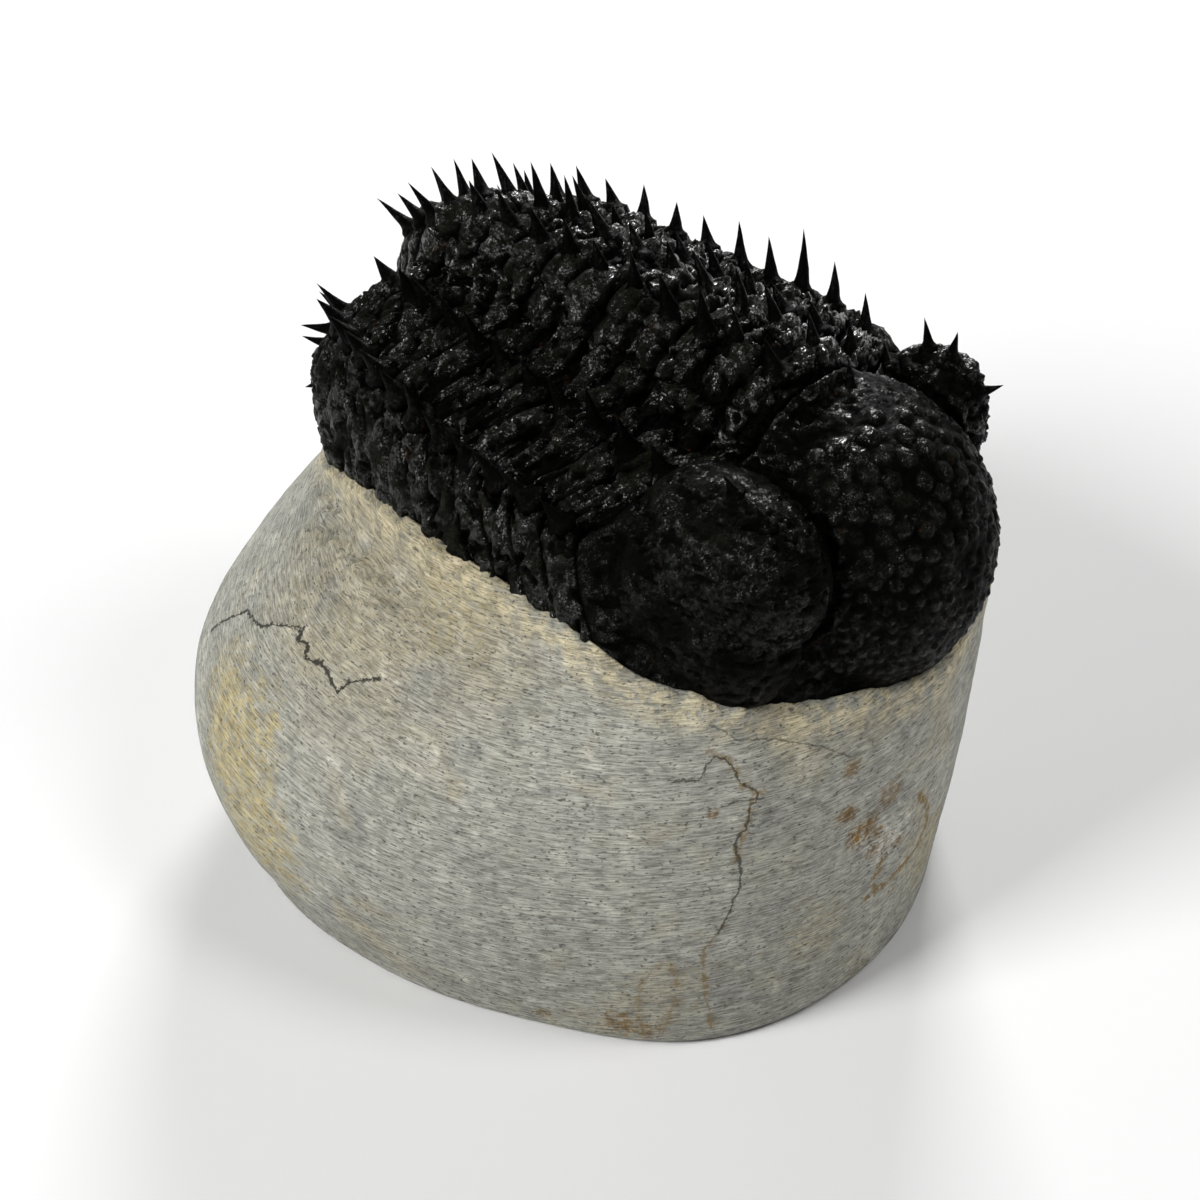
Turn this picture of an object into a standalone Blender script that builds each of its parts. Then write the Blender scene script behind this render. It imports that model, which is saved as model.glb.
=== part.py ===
"""Spiny phacopid trilobite, eleven thoracic segments long, on its lump of ground limestone.

World frame: +Z up, origin at the middle of the lump's flat foot. The trilobite's head looks
along +X and its left side lies towards +Y. Dimensions are in millimetres and become metres
when a mesh is written.

The animal's back is one surface laid out along `t`, the distance behind the front of the
first thoracic ring, and across the body through the ring, the fulcrum and the margin. Every
plate is a strip of that surface, closed below by the flat bed that it lies on.
"""
import math
import random

import bmesh
import bpy
from mathutils import Matrix, Vector

MM = 0.001
NAME = "fossil_trilobite"

# ---- the animal, mm -------------------------------------------------------------------
RING_FRONT_X = 26.0          # front of the first thoracic ring on the middle plane
SEGMENTS = 11
SEGMENT_LENGTH = 4.85
PLATE_GAP = 0.42             # between neighbouring plates, along the body
THORAX_LENGTH = SEGMENTS * SEGMENT_LENGTH

# each profile: (t, value) with t running tailwards, read with straight stretches between
AXIS_Y = ((-17, 3), (-8, 3), (-4, 3.6), (0, 5), (30, 5.3), (53.4, 6.9), (66.5, 7.8))
FULCRUM_Z = ((-17, 44), (-16.2, 46), (-15, 49.5), (-13, 53), (-10.5, 56), (-8, 57), (-4, 58.4),
             (0, 60.3), (12, 61.2), (30, 62.4), (40, 62.8), (50, 61.8), (53.4, 60.8),
             (56.5, 58.8), (59.5, 55), (62, 50.4), (64.5, 46.6), (66.5, 44.8))
FULCRUM_HALF = ((-17, 1.5), (-16.2, 4.2), (-15, 8.6), (-13, 13), (-10.5, 17), (-8, 19.8), (-4, 23.3),
                (0, 25.3), (20, 24.5), (40, 20.8), (50, 18.3), (53.4, 16.8), (56.5, 15.0),
                (59.5, 12.4), (62, 9.2), (64.5, 5.6), (66.5, 2.2))
MARGIN_HALF = ((-17, 2.6), (-16.2, 6.5), (-15, 12.1), (-13, 17.5), (-10.5, 21.8), (-8, 24.9),
               (-4, 28.4), (0, 30.6), (20, 30), (40, 25.6), (50, 22), (53.4, 19.8), (56.5, 17.4),
               (59.5, 14.2), (62, 10.6), (64.5, 6.6), (66.5, 3))
MARGIN_Z = ((-17, 42), (-15, 44), (-13, 45.5), (-10.5, 47), (-8, 48.5), (-4, 50), (0, 51.5),
            (12, 52.4), (24, 52), (34, 50.6), (44, 47.8), (50, 44.8), (53.4, 43), (59.5, 40.7),
            (66.5, 39.9))
RING_HALF = ((-17, 0.6), (-13, 6), (-8, 8.6), (0, 9.4), (26, 8.6), (50, 6.6), (56.5, 5), (66.5, 0.8))
RING_RISE = ((-17, 0.3), (-8, 1.5), (-4, 8), (0, 11.8), (26, 11.4), (50, 9.2), (53.4, 8.6),
             (56.5, 8.8), (59.5, 11.2), (62, 10.4), (64.5, 5.4), (66.5, 0.6))
PLEURA_RISE = ((-17, 0.2), (-4, 3.4), (0, 4.6), (50, 3.6), (59.5, 2.4), (66.5, 0.2))
# how much lower the left fulcrum lies than the right one: the body is rolled a little
LEFT_DROP = ((-17, 0), (-8, 1.4), (0, 3.2), (9, 1.0), (20, 2.4), (30, 1.4), (44, 0.8), (53.4, 0.4),
             (66.5, 0))
# how far the middle of the right flank swells out over the margin, and how far back with it
FLANK_SWELL = ((-17, 0), (30, 0), (44, 0.9), (50, 1.7), (56.5, 2.3), (62, 1.7), (66.5, 0.5))
SWELL_BACK = ((-17, 0), (44, 0), (53.4, 0.3), (60, 0.7), (66.5, 1.0))
# how far behind the middle of its plate the fulcrum and the tip lie
FULCRUM_SWEEP = ((-17, 0.3), (-13, 4), (-8, 7.5), (0, 10.4), (26, 8.2), (40, 6), (53.4, 2.6),
                 (59.5, 0.9), (66.5, 0))
TIP_SWEEP = ((-17, 0.3), (-13, 1.6), (-4, 2.2), (0, 3.6), (26, 1.8), (40, 1.8), (53.4, 1.4),
             (59.5, 0.5), (66.5, 0))

BED_Z = 38.5                 # the flat bed that every plate lies on, sunk in the rock

# places across half the body
RING_ANGLES = (0, 30, 58, 84)                       # on the arch of the axial ring, degrees
PLEURA_STEPS = (0.10, 0.42, 0.76, 1.0)              # from the axial furrow to the fulcrum
# out, down, forward, share of the swell
FLANK_STEPS = ((0.38, 0.24, 0.14, 0.95), (0.72, 0.60, 0.55, 0.8), (1.0, 1.0, 1.0, 0.2))
FURROW_DEPTH = 0.7                                  # of the furrow beside the axial ring
RING_SWEEP = 0.12                                   # share of the fulcrum's sweep on the ring

# rise over the back at each place along a thoracic plate: a groove between two ribs
PLATE_RELIEF = ((0.0, -0.95), (0.22, 0.1), (0.48, -0.35), (0.76, 0.3), (1.0, -0.9))
TAIL_RIBS = 5
TAIL_RELIEF = (-0.5, 0.3)                           # of the tail's grooves and ribs

# ---- spines, mm -----------------------------------------------------------------------
SPINE_SIDES = 5
SPINE_FOOT = 1.25
SPINE_WAIST = 0.55
SPINE_SINK = 0.7
SPINE_PLACE = 0.6            # share of a segment's length in front of its spines
SPINES_ON_SEGMENT = (        # place across (1 = fulcrum), length, lean outwards and backwards
    (0.12, 4.4, 8, 24),
    (0.62, 4.2, 12, 24),
    (1.0, 5.4, 38, 32),
)
EXTRA_LEAN = 15              # backwards, of the right spines on the fulcrum
SPINES_ON_TAIL = tuple(      # t, place across, length, lean outwards and backwards, size
    (THORAX_LENGTH + 1.5 + 2.6 * row, across, 4.2, outwards, 34 + 14 * row, 0.85)
    for row in range(3) for across, outwards in ((0.16, 16), (0.95, 25)))
SPINES_ON_NECK = (           # the same, on the head in front of the first ring
    (-2.4, 0.14, 4.6, 10, 10, 1.0),
    (-1.6, 0.8, 3.6, 14, 16, 0.9),
)

# ---- head, mm -------------------------------------------------------------------------
GLABELLA_CENTRE = (28.7, 5.0, 52.5)
GLABELLA_RADII = (17.5, 17.6, 17.6)
GLABELLA_LUMP = 0.42
GLABELLA_FLOOR_Z = 41.2
GLABELLA_STEPS = (32, 20)
EYES = (                     # centre, radii, yaw; the right one is the larger, worn less
    ((28.6, -12.0, 59.2), (12.4, 8.5, 9.5), -8),
    ((28.6, 21.6, 59.6), (6.2, 4.9, 8.0), 10),
)
EYE_STEPS = (14, 9)
EYE_FLOOR_Z = 45.5
EYE_SPINES = (               # for each eye: place along the lid, length, lean outwards and backwards
    ((0.1, 2.6, 20, 10), (0.48, 2.4, 20, 10), (0.7, 2.2, 20, 10)),
    ((-0.2, 3.0, 12, 18), (0.25, 3.0, 6, -12), (0.84, 3.0, 40, -62)),
)
EYE_SPINE_SIZE = 0.7
LID_PLACE = 0.1              # how far outwards from its top the lid's spines stand

# ---- rock, mm -------------------------------------------------------------------------
ROCK_STEPS = 40
FOOT_EDGE = 2.4
FOOT_BEVEL = 1.2
SIDE_LEVELS = (2.4, 8.0, 14.0, 20.0, 26.0, 32.0)
FLARE_STEPS = (0.0, 0.4, 0.75, 1.0)
BELLY_Z = 22.0
SHOULDER_Z = 37.0
FLARE_CURVE = 1.6
LIP_WIDTH = 1.4
LIP_SINK = 0.35              # of the lip below the animal's margin
CLEARANCE = 0.42             # between the animal and the pocket it sits in
POCKET_TOP_Z = 90.0
# degrees from +X towards +Y, radius at the foot, the belly and the shoulder
ROCK_SECTIONS = (
    (0, 41.5, 43.4, 43.8), (30, 39.9, 42.4, 43.6), (60, 39.5, 41.7, 43.6), (90, 38.0, 41.6, 41.8),
    (120, 38.0, 41.4, 40.5), (150, 39.5, 43.2, 42.1), (180, 40.2, 44.2, 39.7), (210, 41.2, 46.8, 36.2),
    (240, 40.9, 45.3, 36.8), (270, 38.0, 41.6, 35.5), (300, 37.6, 40.7, 38.0), (330, 41.5, 42.9, 42.5),
)

SHELL_COLOUR = (0.012, 0.012, 0.013, 1.0)
ROCK_COLOUR = (0.47, 0.46, 0.43, 1.0)


def read_profile(profile, t):
    """Value of a (t, value) profile at t, held flat past its ends."""
    if t <= profile[0][0]:
        return profile[0][1]
    for (t0, v0), (t1, v1) in zip(profile, profile[1:]):
        if t <= t1:
            return v0 + (v1 - v0) * (t - t0) / (t1 - t0)
    return profile[-1][1]


def half_section(t, swollen=False):
    """(lateral, height, sweep) of each place across one side, from the middle to the margin."""
    fulcrum, margin = read_profile(FULCRUM_HALF, t), read_profile(MARGIN_HALF, t)
    ring, ring_rise = read_profile(RING_HALF, t), read_profile(RING_RISE, t)
    pleura_rise = read_profile(PLEURA_RISE, t)
    fulcrum_sweep, tip_sweep = read_profile(FULCRUM_SWEEP, t), read_profile(TIP_SWEEP, t)
    level, drop = read_profile(FULCRUM_Z, t), read_profile(FULCRUM_Z, t) - read_profile(MARGIN_Z, t)
    places = []
    for angle in RING_ANGLES:
        out = math.sin(math.radians(angle))
        rise = pleura_rise + (ring_rise - pleura_rise) * math.cos(math.radians(angle))
        places.append((ring * out, level + rise, fulcrum_sweep * RING_SWEEP * out))
    for step in PLEURA_STEPS:
        lateral = ring + (fulcrum - ring) * step
        rise = pleura_rise * (1 - step ** 1.6) - (FURROW_DEPTH if step == PLEURA_STEPS[0] else 0)
        places.append((lateral, level + rise, fulcrum_sweep * (RING_SWEEP + (1 - RING_SWEEP) * step)))
    swell = read_profile(FLANK_SWELL, t) if swollen else 0.0
    swell_back = read_profile(SWELL_BACK, t)
    for out, down, forward, share in FLANK_STEPS:
        places.append((fulcrum + (margin - fulcrum) * out + swell * share, level - drop * down,
                       fulcrum_sweep + (tip_sweep - fulcrum_sweep) * forward
                       + swell * swell_back * share))
    return places


def place_across(t, place, side):
    """World position of one (lateral, height, sweep) place at t, on the right (-1) or left (1)."""
    lateral, height, sweep = place
    if side > 0:
        fulcrum, margin = read_profile(FULCRUM_HALF, t), read_profile(MARGIN_HALF, t)
        share = min(lateral / fulcrum, (margin - lateral) / (margin - fulcrum))
        height -= read_profile(LEFT_DROP, t) * max(0.0, share)
    return Vector((RING_FRONT_X - t - sweep, read_profile(AXIS_Y, t) + side * lateral, height))


def cross_line(t, relief=0.0, swollen=True):
    """Points of one line across the whole back, from its right margin to its left."""
    line = [place_across(t, place, -1) for place in half_section(t, swollen)[::-1]]
    line += [place_across(t, place, 1) for place in half_section(t)[1:]]
    return [point + Vector((0, 0, relief)) for point in line]


def around_edge(rows):
    """The outer edge of a grid of rows, once round."""
    return rows[0][:-1] + [row[-1] for row in rows[:-1]] + rows[-1][:0:-1] + [row[0] for row in rows[:0:-1]]


def closed_strip(bm, stations, floor_z):
    """One closed solid between the back at (t, relief) stations and a flat floor under them."""
    rows = [[bm.verts.new(p * MM) for p in cross_line(t, relief)] for t, relief in stations]
    for near, far in zip(rows, rows[1:]):
        for i in range(len(near) - 1):
            bm.faces.new((near[i], near[i + 1], far[i + 1], far[i]))
    rim = around_edge(rows)
    plan = around_edge([cross_line(t, swollen=False) for t, _ in stations])
    foot = [bm.verts.new(Vector((p.x, p.y, floor_z)) * MM) for p in plan]
    for i in range(len(rim)):
        j = (i + 1) % len(rim)
        # walls that face each other across a gap are split along the same diagonal
        right, left = (i, j) if foot[i].co.y < foot[j].co.y else (j, i)
        bm.faces.new((rim[right], rim[left], foot[left]))
        bm.faces.new((rim[right], foot[left], foot[right]))
    bm.faces.new(foot)


def outline(t_first, t_last, grow):
    """Plan of the margin between two places, grown outwards: right side, then left side."""
    stations = sorted({t for t, _ in MARGIN_HALF + MARGIN_Z if t_first < t < t_last} | {t_first, t_last})
    sides = []
    for side in (-1, 1):
        row = [place_across(t, half_section(t, side < 0)[-1], side).xy for t in stations]
        grown = []
        for i, point in enumerate(row):
            along = (row[min(i + 1, len(row) - 1)] - row[max(i - 1, 0)]).normalized()
            grown.append(point + Vector((along.y, -along.x)) * grow * side)
        grown[0].x += grow
        grown[-1].x -= grow
        sides.append(grown)
    return sides[0] + sides[1][::-1]


def add_prism(bm, plan, low, high):
    """Upright prism over a plan outline."""
    bottom, top = ([bm.verts.new(Vector((p.x, p.y, z)) * MM) for p in plan] for z in (low, high))
    bm.faces.new(bottom[::-1])
    bm.faces.new(top)
    for i in range(len(plan)):
        j = (i + 1) % len(plan)
        bm.faces.new((bottom[i], bottom[j], top[j], top[i]))


def surface_point(t, across, side):
    """Point on the back: across is 0 on the middle line and 1 at the fulcrum."""
    half = half_section(t)
    fulcrum = read_profile(FULCRUM_HALF, t)
    for (l0, h0, s0), (l1, h1, s1) in zip(half, half[1:]):
        if across * fulcrum <= l1 or l1 >= fulcrum:
            f = min(1.0, (across * fulcrum - l0) / (l1 - l0))
            place = [a + (b - a) * f for a, b in ((l0, l1), (h0, h1), (s0, s1))]
            break
    return place_across(t, place, side)


def add_spine(bm, foot, direction, length, size=1.0):
    """A thorn: a flared foot sunk in the shell, drawn out to a point."""
    side = Vector((0, 0, 1)).rotation_difference(direction).to_matrix().to_4x4()
    place = Matrix.Translation(foot * MM) @ side
    rings = ((-SPINE_SINK, SPINE_FOOT * size), (length * 0.22, SPINE_WAIST * size))
    rows = []
    for height, radius in rings:
        rows.append([bm.verts.new(place @ (Vector((
            radius * math.cos(math.tau * i / SPINE_SIDES),
            radius * math.sin(math.tau * i / SPINE_SIDES), height)) * MM)) for i in range(SPINE_SIDES)])
    tip = bm.verts.new(place @ (Vector((0, 0, length)) * MM))
    bm.faces.new(rows[0][::-1])
    for i in range(SPINE_SIDES):
        j = (i + 1) % SPINE_SIDES
        bm.faces.new((rows[0][i], rows[0][j], rows[1][j], rows[1][i]))
        bm.faces.new((rows[1][i], rows[1][j], tip))


def lean(outwards, backwards, side):
    """Direction of a spine that leans from upright by these angles, in degrees."""
    out, back = math.tan(math.radians(outwards)), math.tan(math.radians(backwards))
    return Vector((-back, side * out, 1.0)).normalized()


def add_ellipsoid(bm, centre, radii, segments, rings, floor, yaw=0.0, lump=0.0):
    """A ball stretched to its radii and cut off flat at its floor."""
    made = bmesh.ops.create_uvsphere(bm, u_segments=segments, v_segments=rings, radius=1.0)
    turn = Matrix.Rotation(math.radians(yaw), 4, "Z")
    for vert in made["verts"]:
        column = round(math.atan2(vert.co.y, vert.co.x) / (math.tau / segments))
        row = round(math.acos(max(-1.0, min(1.0, vert.co.z))) / (math.pi / rings))
        away_from_pole = math.hypot(vert.co.x, vert.co.y)
        swell = 1.0 + (lump / radii[0]) * (1 if (column + row) % 2 else -1) * away_from_pole
        vert.co = (Vector(centre) + turn @ Vector([r * c * swell for r, c in zip(radii, vert.co)])) * MM
    faces = list({face for vert in made["verts"] for face in vert.link_faces})
    edges = list({edge for face in faces for edge in face.edges})
    cut = bmesh.ops.bisect_plane(bm, geom=made["verts"] + edges + faces, plane_co=(0, 0, floor * MM),
                                 plane_no=(0, 0, -1), clear_outer=True)["geom_cut"]
    bmesh.ops.holes_fill(bm, edges=[item for item in cut if isinstance(item, bmesh.types.BMEdge)])


def new_object(name, bm, collection, material=None):
    """Object from a bmesh, its faces turned outwards and shaded smooth up to a sharp edge."""
    bmesh.ops.recalc_face_normals(bm, faces=bm.faces[:])
    if bm.calc_volume(signed=True) < 0:
        bmesh.ops.reverse_faces(bm, faces=bm.faces[:])
    mesh = bpy.data.meshes.new(name)
    bm.to_mesh(mesh)
    bm.free()
    mesh.shade_smooth()
    mesh.set_sharp_from_angle(angle=math.radians(38))
    obj = bpy.data.objects.new(name, mesh)
    collection.objects.link(obj)
    if material is not None:
        mesh.materials.append(material)
    else:
        obj.hide_render = True
        obj.display_type = "WIRE"
    return obj


def boolean(obj, other, operation):
    """Live Boolean of `other` on `obj`."""
    modifier = obj.modifiers.new(operation.lower() + "_" + other.name, "BOOLEAN")
    modifier.operation = operation
    modifier.object = other


def new_material(name, colour, roughness):
    material = bpy.data.materials.new(name)
    material.use_nodes = True
    shader = material.node_tree.nodes["Principled BSDF"]
    shader.inputs["Base Color"].default_value = colour
    shader.inputs["Roughness"].default_value = roughness
    shader.inputs["Metallic"].default_value = 0.0
    material.diffuse_color = colour
    return material


def build_segment(index, parts, cutters, shell, rng):
    """One thoracic plate: ring, two pleurae bent down at the fulcrum, and six spines."""
    t0 = index * SEGMENT_LENGTH + PLATE_GAP / 2
    t1 = (index + 1) * SEGMENT_LENGTH - PLATE_GAP / 2
    bm = bmesh.new()
    closed_strip(bm, [(t0 + (t1 - t0) * f, relief) for f, relief in PLATE_RELIEF], BED_Z)
    plate = new_object("thorax_segment_%02d" % (index + 1), bm, parts, shell)
    bm = bmesh.new()
    for across, length, outwards, backwards in SPINES_ON_SEGMENT:
        for side in (-1, 1):
            foot = surface_point(t0 + SEGMENT_LENGTH * SPINE_PLACE, across, side)
            back = backwards + (EXTRA_LEAN if side < 0 and across == 1 else 0)
            turn = lean(outwards + rng.uniform(-9, 9), back + rng.uniform(-10, 10), side)
            add_spine(bm, foot, turn, length * rng.uniform(0.75, 1.25))
    boolean(plate, new_object("spines_%02d" % (index + 1), bm, cutters), "UNION")


def build_pygidium(parts, cutters, shell, rng):
    """Tail shield: ribbed like the thorax, curled down to the rock, with shorter spines."""
    start, end = THORAX_LENGTH + PLATE_GAP / 2, MARGIN_Z[-1][0]
    steps = 2 * TAIL_RIBS
    bm = bmesh.new()
    closed_strip(bm, [(start + (end - start) * i / steps, TAIL_RELIEF[i % 2]) for i in range(steps + 1)],
                 BED_Z)
    tail = new_object("pygidium", bm, parts, shell)
    bm = bmesh.new()
    for t, across, length, outwards, backwards, size in SPINES_ON_TAIL:
        for side in (-1, 1):
            turn = lean(outwards, backwards, side)
            add_spine(bm, surface_point(t, across, side), turn, length * rng.uniform(0.8, 1.1), size)
    boolean(tail, new_object("spines_tail", bm, cutters), "UNION")


def build_cephalon(parts, cutters, shell, rng):
    """Head shield: cheeks, ball-shaped glabella, two tall eyes, and the spines on them."""
    bm = bmesh.new()
    closed_strip(bm, [(PLATE_GAP, 0)] + [(t, 0) for t, _ in FULCRUM_HALF if t < 0][::-1], BED_Z)
    head = new_object("cephalon", bm, parts, shell)

    bm = bmesh.new()
    add_ellipsoid(bm, GLABELLA_CENTRE, GLABELLA_RADII, *GLABELLA_STEPS, GLABELLA_FLOOR_Z,
                  lump=GLABELLA_LUMP)
    boolean(head, new_object("glabella_form", bm, cutters), "UNION")
    bm = bmesh.new()
    for centre, radii, yaw in EYES:
        add_ellipsoid(bm, centre, radii, *EYE_STEPS, EYE_FLOOR_Z, yaw=yaw)
    boolean(head, new_object("eye_forms", bm, cutters), "UNION")

    bm = bmesh.new()
    side = {line: [Vector((p[0].x - 5, p[0].y - 20, 0))] + p + [Vector((p[-1].x - 5, p[-1].y + 20, 0))]
            for line, p in (("front", cross_line(-PLATE_GAP / 2)), ("rear", cross_line(30.0)))}
    add_prism(bm, [p.xy for p in side["front"]] + [p.xy for p in side["rear"][::-1]], 20, 95)
    boolean(head, new_object("thorax_side", bm, cutters), "DIFFERENCE")

    bm = bmesh.new()
    for (centre, radii, yaw), spines in zip(EYES, EYE_SPINES):
        turn = Matrix.Rotation(math.radians(yaw), 4, "Z")
        side = 1 if centre[1] > GLABELLA_CENTRE[1] else -1
        for along, length, outwards, backwards in spines:
            rise = math.sqrt(1 - along ** 2 - LID_PLACE ** 2)
            place = Vector((radii[0] * along, side * radii[1] * LID_PLACE, radii[2] * rise))
            add_spine(bm, Vector(centre) + turn @ place, lean(outwards, backwards, side), length,
                      EYE_SPINE_SIZE)
    for t, across, length, outwards, backwards, size in SPINES_ON_NECK:
        for side in (-1, 1):
            turn = lean(outwards, backwards, side)
            add_spine(bm, surface_point(t, across, side), turn, length * rng.uniform(0.9, 1.05), size)
    boolean(head, new_object("spines_head", bm, cutters), "UNION")


def around(theta, column):
    """Radius of the rock in one direction, curved smoothly between its ROCK_SECTIONS."""
    count = len(ROCK_SECTIONS)
    place = (math.degrees(theta) % 360) / (360 / count)
    i, f = int(place), place - int(place)
    a, b, c, d = (ROCK_SECTIONS[(i + k) % count][column] for k in (-1, 0, 1, 2))
    return b + f * (c - a + f * (2 * a - 5 * b + 4 * c - d + f * (3 * (b - c) + d - a))) / 2


def side_radius(theta, z):
    """Radius of the rock's side at z: a parabola through the foot, the belly and the shoulder."""
    total = 0.0
    levels = (FOOT_EDGE, BELLY_Z, SHOULDER_Z)
    for i, level in enumerate(levels):
        weight = 1.0
        for other in levels[:i] + levels[i + 1:]:
            weight *= (z - other) / (level - other)
        total += weight * around(theta, i + 1)
    return total


def lip_radius(theta, plan):
    """How far a plan outline reaches from the middle of the rock in one direction."""
    ray = Vector((math.cos(theta), math.sin(theta)))
    for a, b in zip(plan, plan[1:] + plan[:1]):
        edge = b - a
        cross = ray.x * edge.y - ray.y * edge.x
        if abs(cross) > 1e-9:
            reach, along = (a.x * edge.y - a.y * edge.x) / cross, (a.x * ray.y - a.y * ray.x) / cross
            if reach > 0 and 0 <= along <= 1:
                return reach
    raise ValueError("the outline doesn't surround the rock's middle")


def lip_height(x):
    """Height of the margin that the rock's lip follows, read on the body's sides."""
    rows = [(RING_FRONT_X - t - read_profile(TIP_SWEEP, t), z) for t, z in MARGIN_Z[::-1]]
    return read_profile(rows, x)


def build_rock(parts, cutters, limestone):
    """The lump: flat foot, full belly, a shoulder that flares up to the lip round the animal."""
    plan = outline(MARGIN_HALF[0][0], MARGIN_HALF[-1][0], LIP_WIDTH)
    rings = [[] for _ in range(len(SIDE_LEVELS) + len(FLARE_STEPS) + 3)]
    for i in range(ROCK_STEPS):
        theta = math.tau * i / ROCK_STEPS
        ray = Vector((math.cos(theta), math.sin(theta), 0))
        levels = [(side_radius(theta, FOOT_EDGE) - FOOT_BEVEL, 0.0)]
        levels += [(side_radius(theta, z), z) for z in SIDE_LEVELS]
        lip = lip_radius(theta, plan)
        lip_z = lip_height(lip * ray.x) - LIP_SINK
        shoulder = side_radius(theta, SHOULDER_Z)
        for f in FLARE_STEPS:
            levels.append((lip + (shoulder - lip) * (1 - f) ** FLARE_CURVE,
                           SHOULDER_Z + (lip_z - SHOULDER_Z) * f))
        levels.append((lip - 2.5 * LIP_WIDTH, lip_z))
        levels.append((lip - 3.0 * LIP_WIDTH, BED_Z + 1.0))
        for ring, (radius, z) in zip(rings, levels):
            ring.append(ray * radius + Vector((0, 0, z)))
    bm = bmesh.new()
    rows = [[bm.verts.new(p * MM) for p in ring] for ring in rings]
    for low, high in zip(rows, rows[1:]):
        for i in range(ROCK_STEPS):
            j = (i + 1) % ROCK_STEPS
            bm.faces.new((low[i], low[j], high[j], high[i]))
    bm.faces.new(rows[0][::-1])
    bm.faces.new(rows[-1])
    rock = new_object("matrix_rock", bm, parts, limestone)

    bm = bmesh.new()
    add_prism(bm, outline(MARGIN_HALF[0][0], MARGIN_HALF[-1][0], CLEARANCE), BED_Z - CLEARANCE, POCKET_TOP_Z)
    pocket = new_object("pocket", bm, cutters)
    bm = bmesh.new()
    grown = [r + CLEARANCE + GLABELLA_LUMP for r in GLABELLA_RADII]
    add_ellipsoid(bm, GLABELLA_CENTRE, grown, *GLABELLA_STEPS, GLABELLA_FLOOR_Z - CLEARANCE)
    boolean(pocket, new_object("pocket_glabella", bm, cutters), "UNION")
    boolean(rock, pocket, "DIFFERENCE")


def main():
    for old in list(bpy.data.objects):
        bpy.data.objects.remove(old, do_unlink=True)
    parts = bpy.data.collections.new(NAME)
    cutters = bpy.data.collections.new(NAME + "_cutters")
    for collection in (parts, cutters):
        bpy.context.scene.collection.children.link(collection)
    shell = new_material("fossil_shell", SHELL_COLOUR, 0.22)
    limestone = new_material("limestone", ROCK_COLOUR, 0.8)
    rng = random.Random(7)
    build_rock(parts, cutters, limestone)
    build_cephalon(parts, cutters, shell, rng)
    for index in range(SEGMENTS):
        build_segment(index, parts, cutters, shell, rng)
    build_pygidium(parts, cutters, shell, rng)


main()
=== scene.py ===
"""Spiny black trilobite on its ground lump of pale limestone: the shapes and finishes that are seen.

Every size in the classes is in millimetres, and becomes metres when a mesh is written. The
frame is that of the solids: +Z up, the origin in the middle of the lump's foot, the animal's
head along +X and its left side towards +Y.
"""
import logging
import math
import random
from dataclasses import dataclass, field
from enum import Enum

import bpy
import numpy as np
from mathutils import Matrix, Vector, noise
from mathutils.kdtree import KDTree


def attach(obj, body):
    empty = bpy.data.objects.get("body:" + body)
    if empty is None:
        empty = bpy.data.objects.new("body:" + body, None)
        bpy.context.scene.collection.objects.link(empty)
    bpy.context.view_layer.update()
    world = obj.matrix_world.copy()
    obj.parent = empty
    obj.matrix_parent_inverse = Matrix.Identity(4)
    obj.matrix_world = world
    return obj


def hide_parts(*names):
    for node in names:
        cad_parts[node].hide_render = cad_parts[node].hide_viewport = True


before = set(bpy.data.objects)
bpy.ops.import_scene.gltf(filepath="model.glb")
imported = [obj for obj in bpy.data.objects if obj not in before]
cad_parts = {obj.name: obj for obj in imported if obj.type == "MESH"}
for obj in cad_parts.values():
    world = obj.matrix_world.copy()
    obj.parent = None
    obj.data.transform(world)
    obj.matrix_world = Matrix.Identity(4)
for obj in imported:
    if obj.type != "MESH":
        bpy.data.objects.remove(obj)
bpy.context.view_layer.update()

MM = 0.001
SEED = 7
MIDDLE = 10.0             # place of the middle line across the body, between 0 and 20
FULCRUM = 7.0             # how far from it the plates bend down
log = logging.getLogger("trilobite")
Array = np.ndarray
Piece = bpy.types.Object
Material = bpy.types.Material
Node = bpy.types.Node
Tree = bpy.types.NodeTree
Socket = bpy.types.NodeSocket
Pairs = tuple[tuple[float, float], ...]
Rows = tuple[tuple[float, ...], ...]
Triple = tuple[float, float, float]
Colour = tuple[float, float, float, float]
Spots = tuple[tuple[Triple, float, float, float], ...]


class Slot(Enum):
    """Material slots of the record."""

    SHELL = "fossil_shell"
    STONE = "limestone"


# ------------------------------------------------------------------ small helpers


def smooth(low: float, high: float, value: Array) -> Array:
    """Step from 0 at low to 1 at high with soft ends.

    Args:
        low: value where the step starts.
        high: value where it ends.
        value: numbers to read it at.

    Returns:
        The step's height at each number.
    """
    f = np.clip((value - low) / (high - low), 0.0, 1.0)
    return f * f * (3.0 - 2.0 * f)


def ragged(points: Array, grain: float, octaves: int = 3, seed: float = 0.0) -> Array:
    """Soft random relief in space.

    Args:
        points: places, mm, one per row.
        grain: size of the largest lumps, mm.
        octaves: number of finer layers.
        seed: shift of the pattern.

    Returns:
        About -1 to 1 for each place.
    """
    k = 1.0 / grain
    return np.array([noise.fractal((x * k + seed, y * k - seed, z * k + 3 * seed), 0.9, 2.0, octaves)
                     for x, y, z in points.tolist()])


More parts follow.
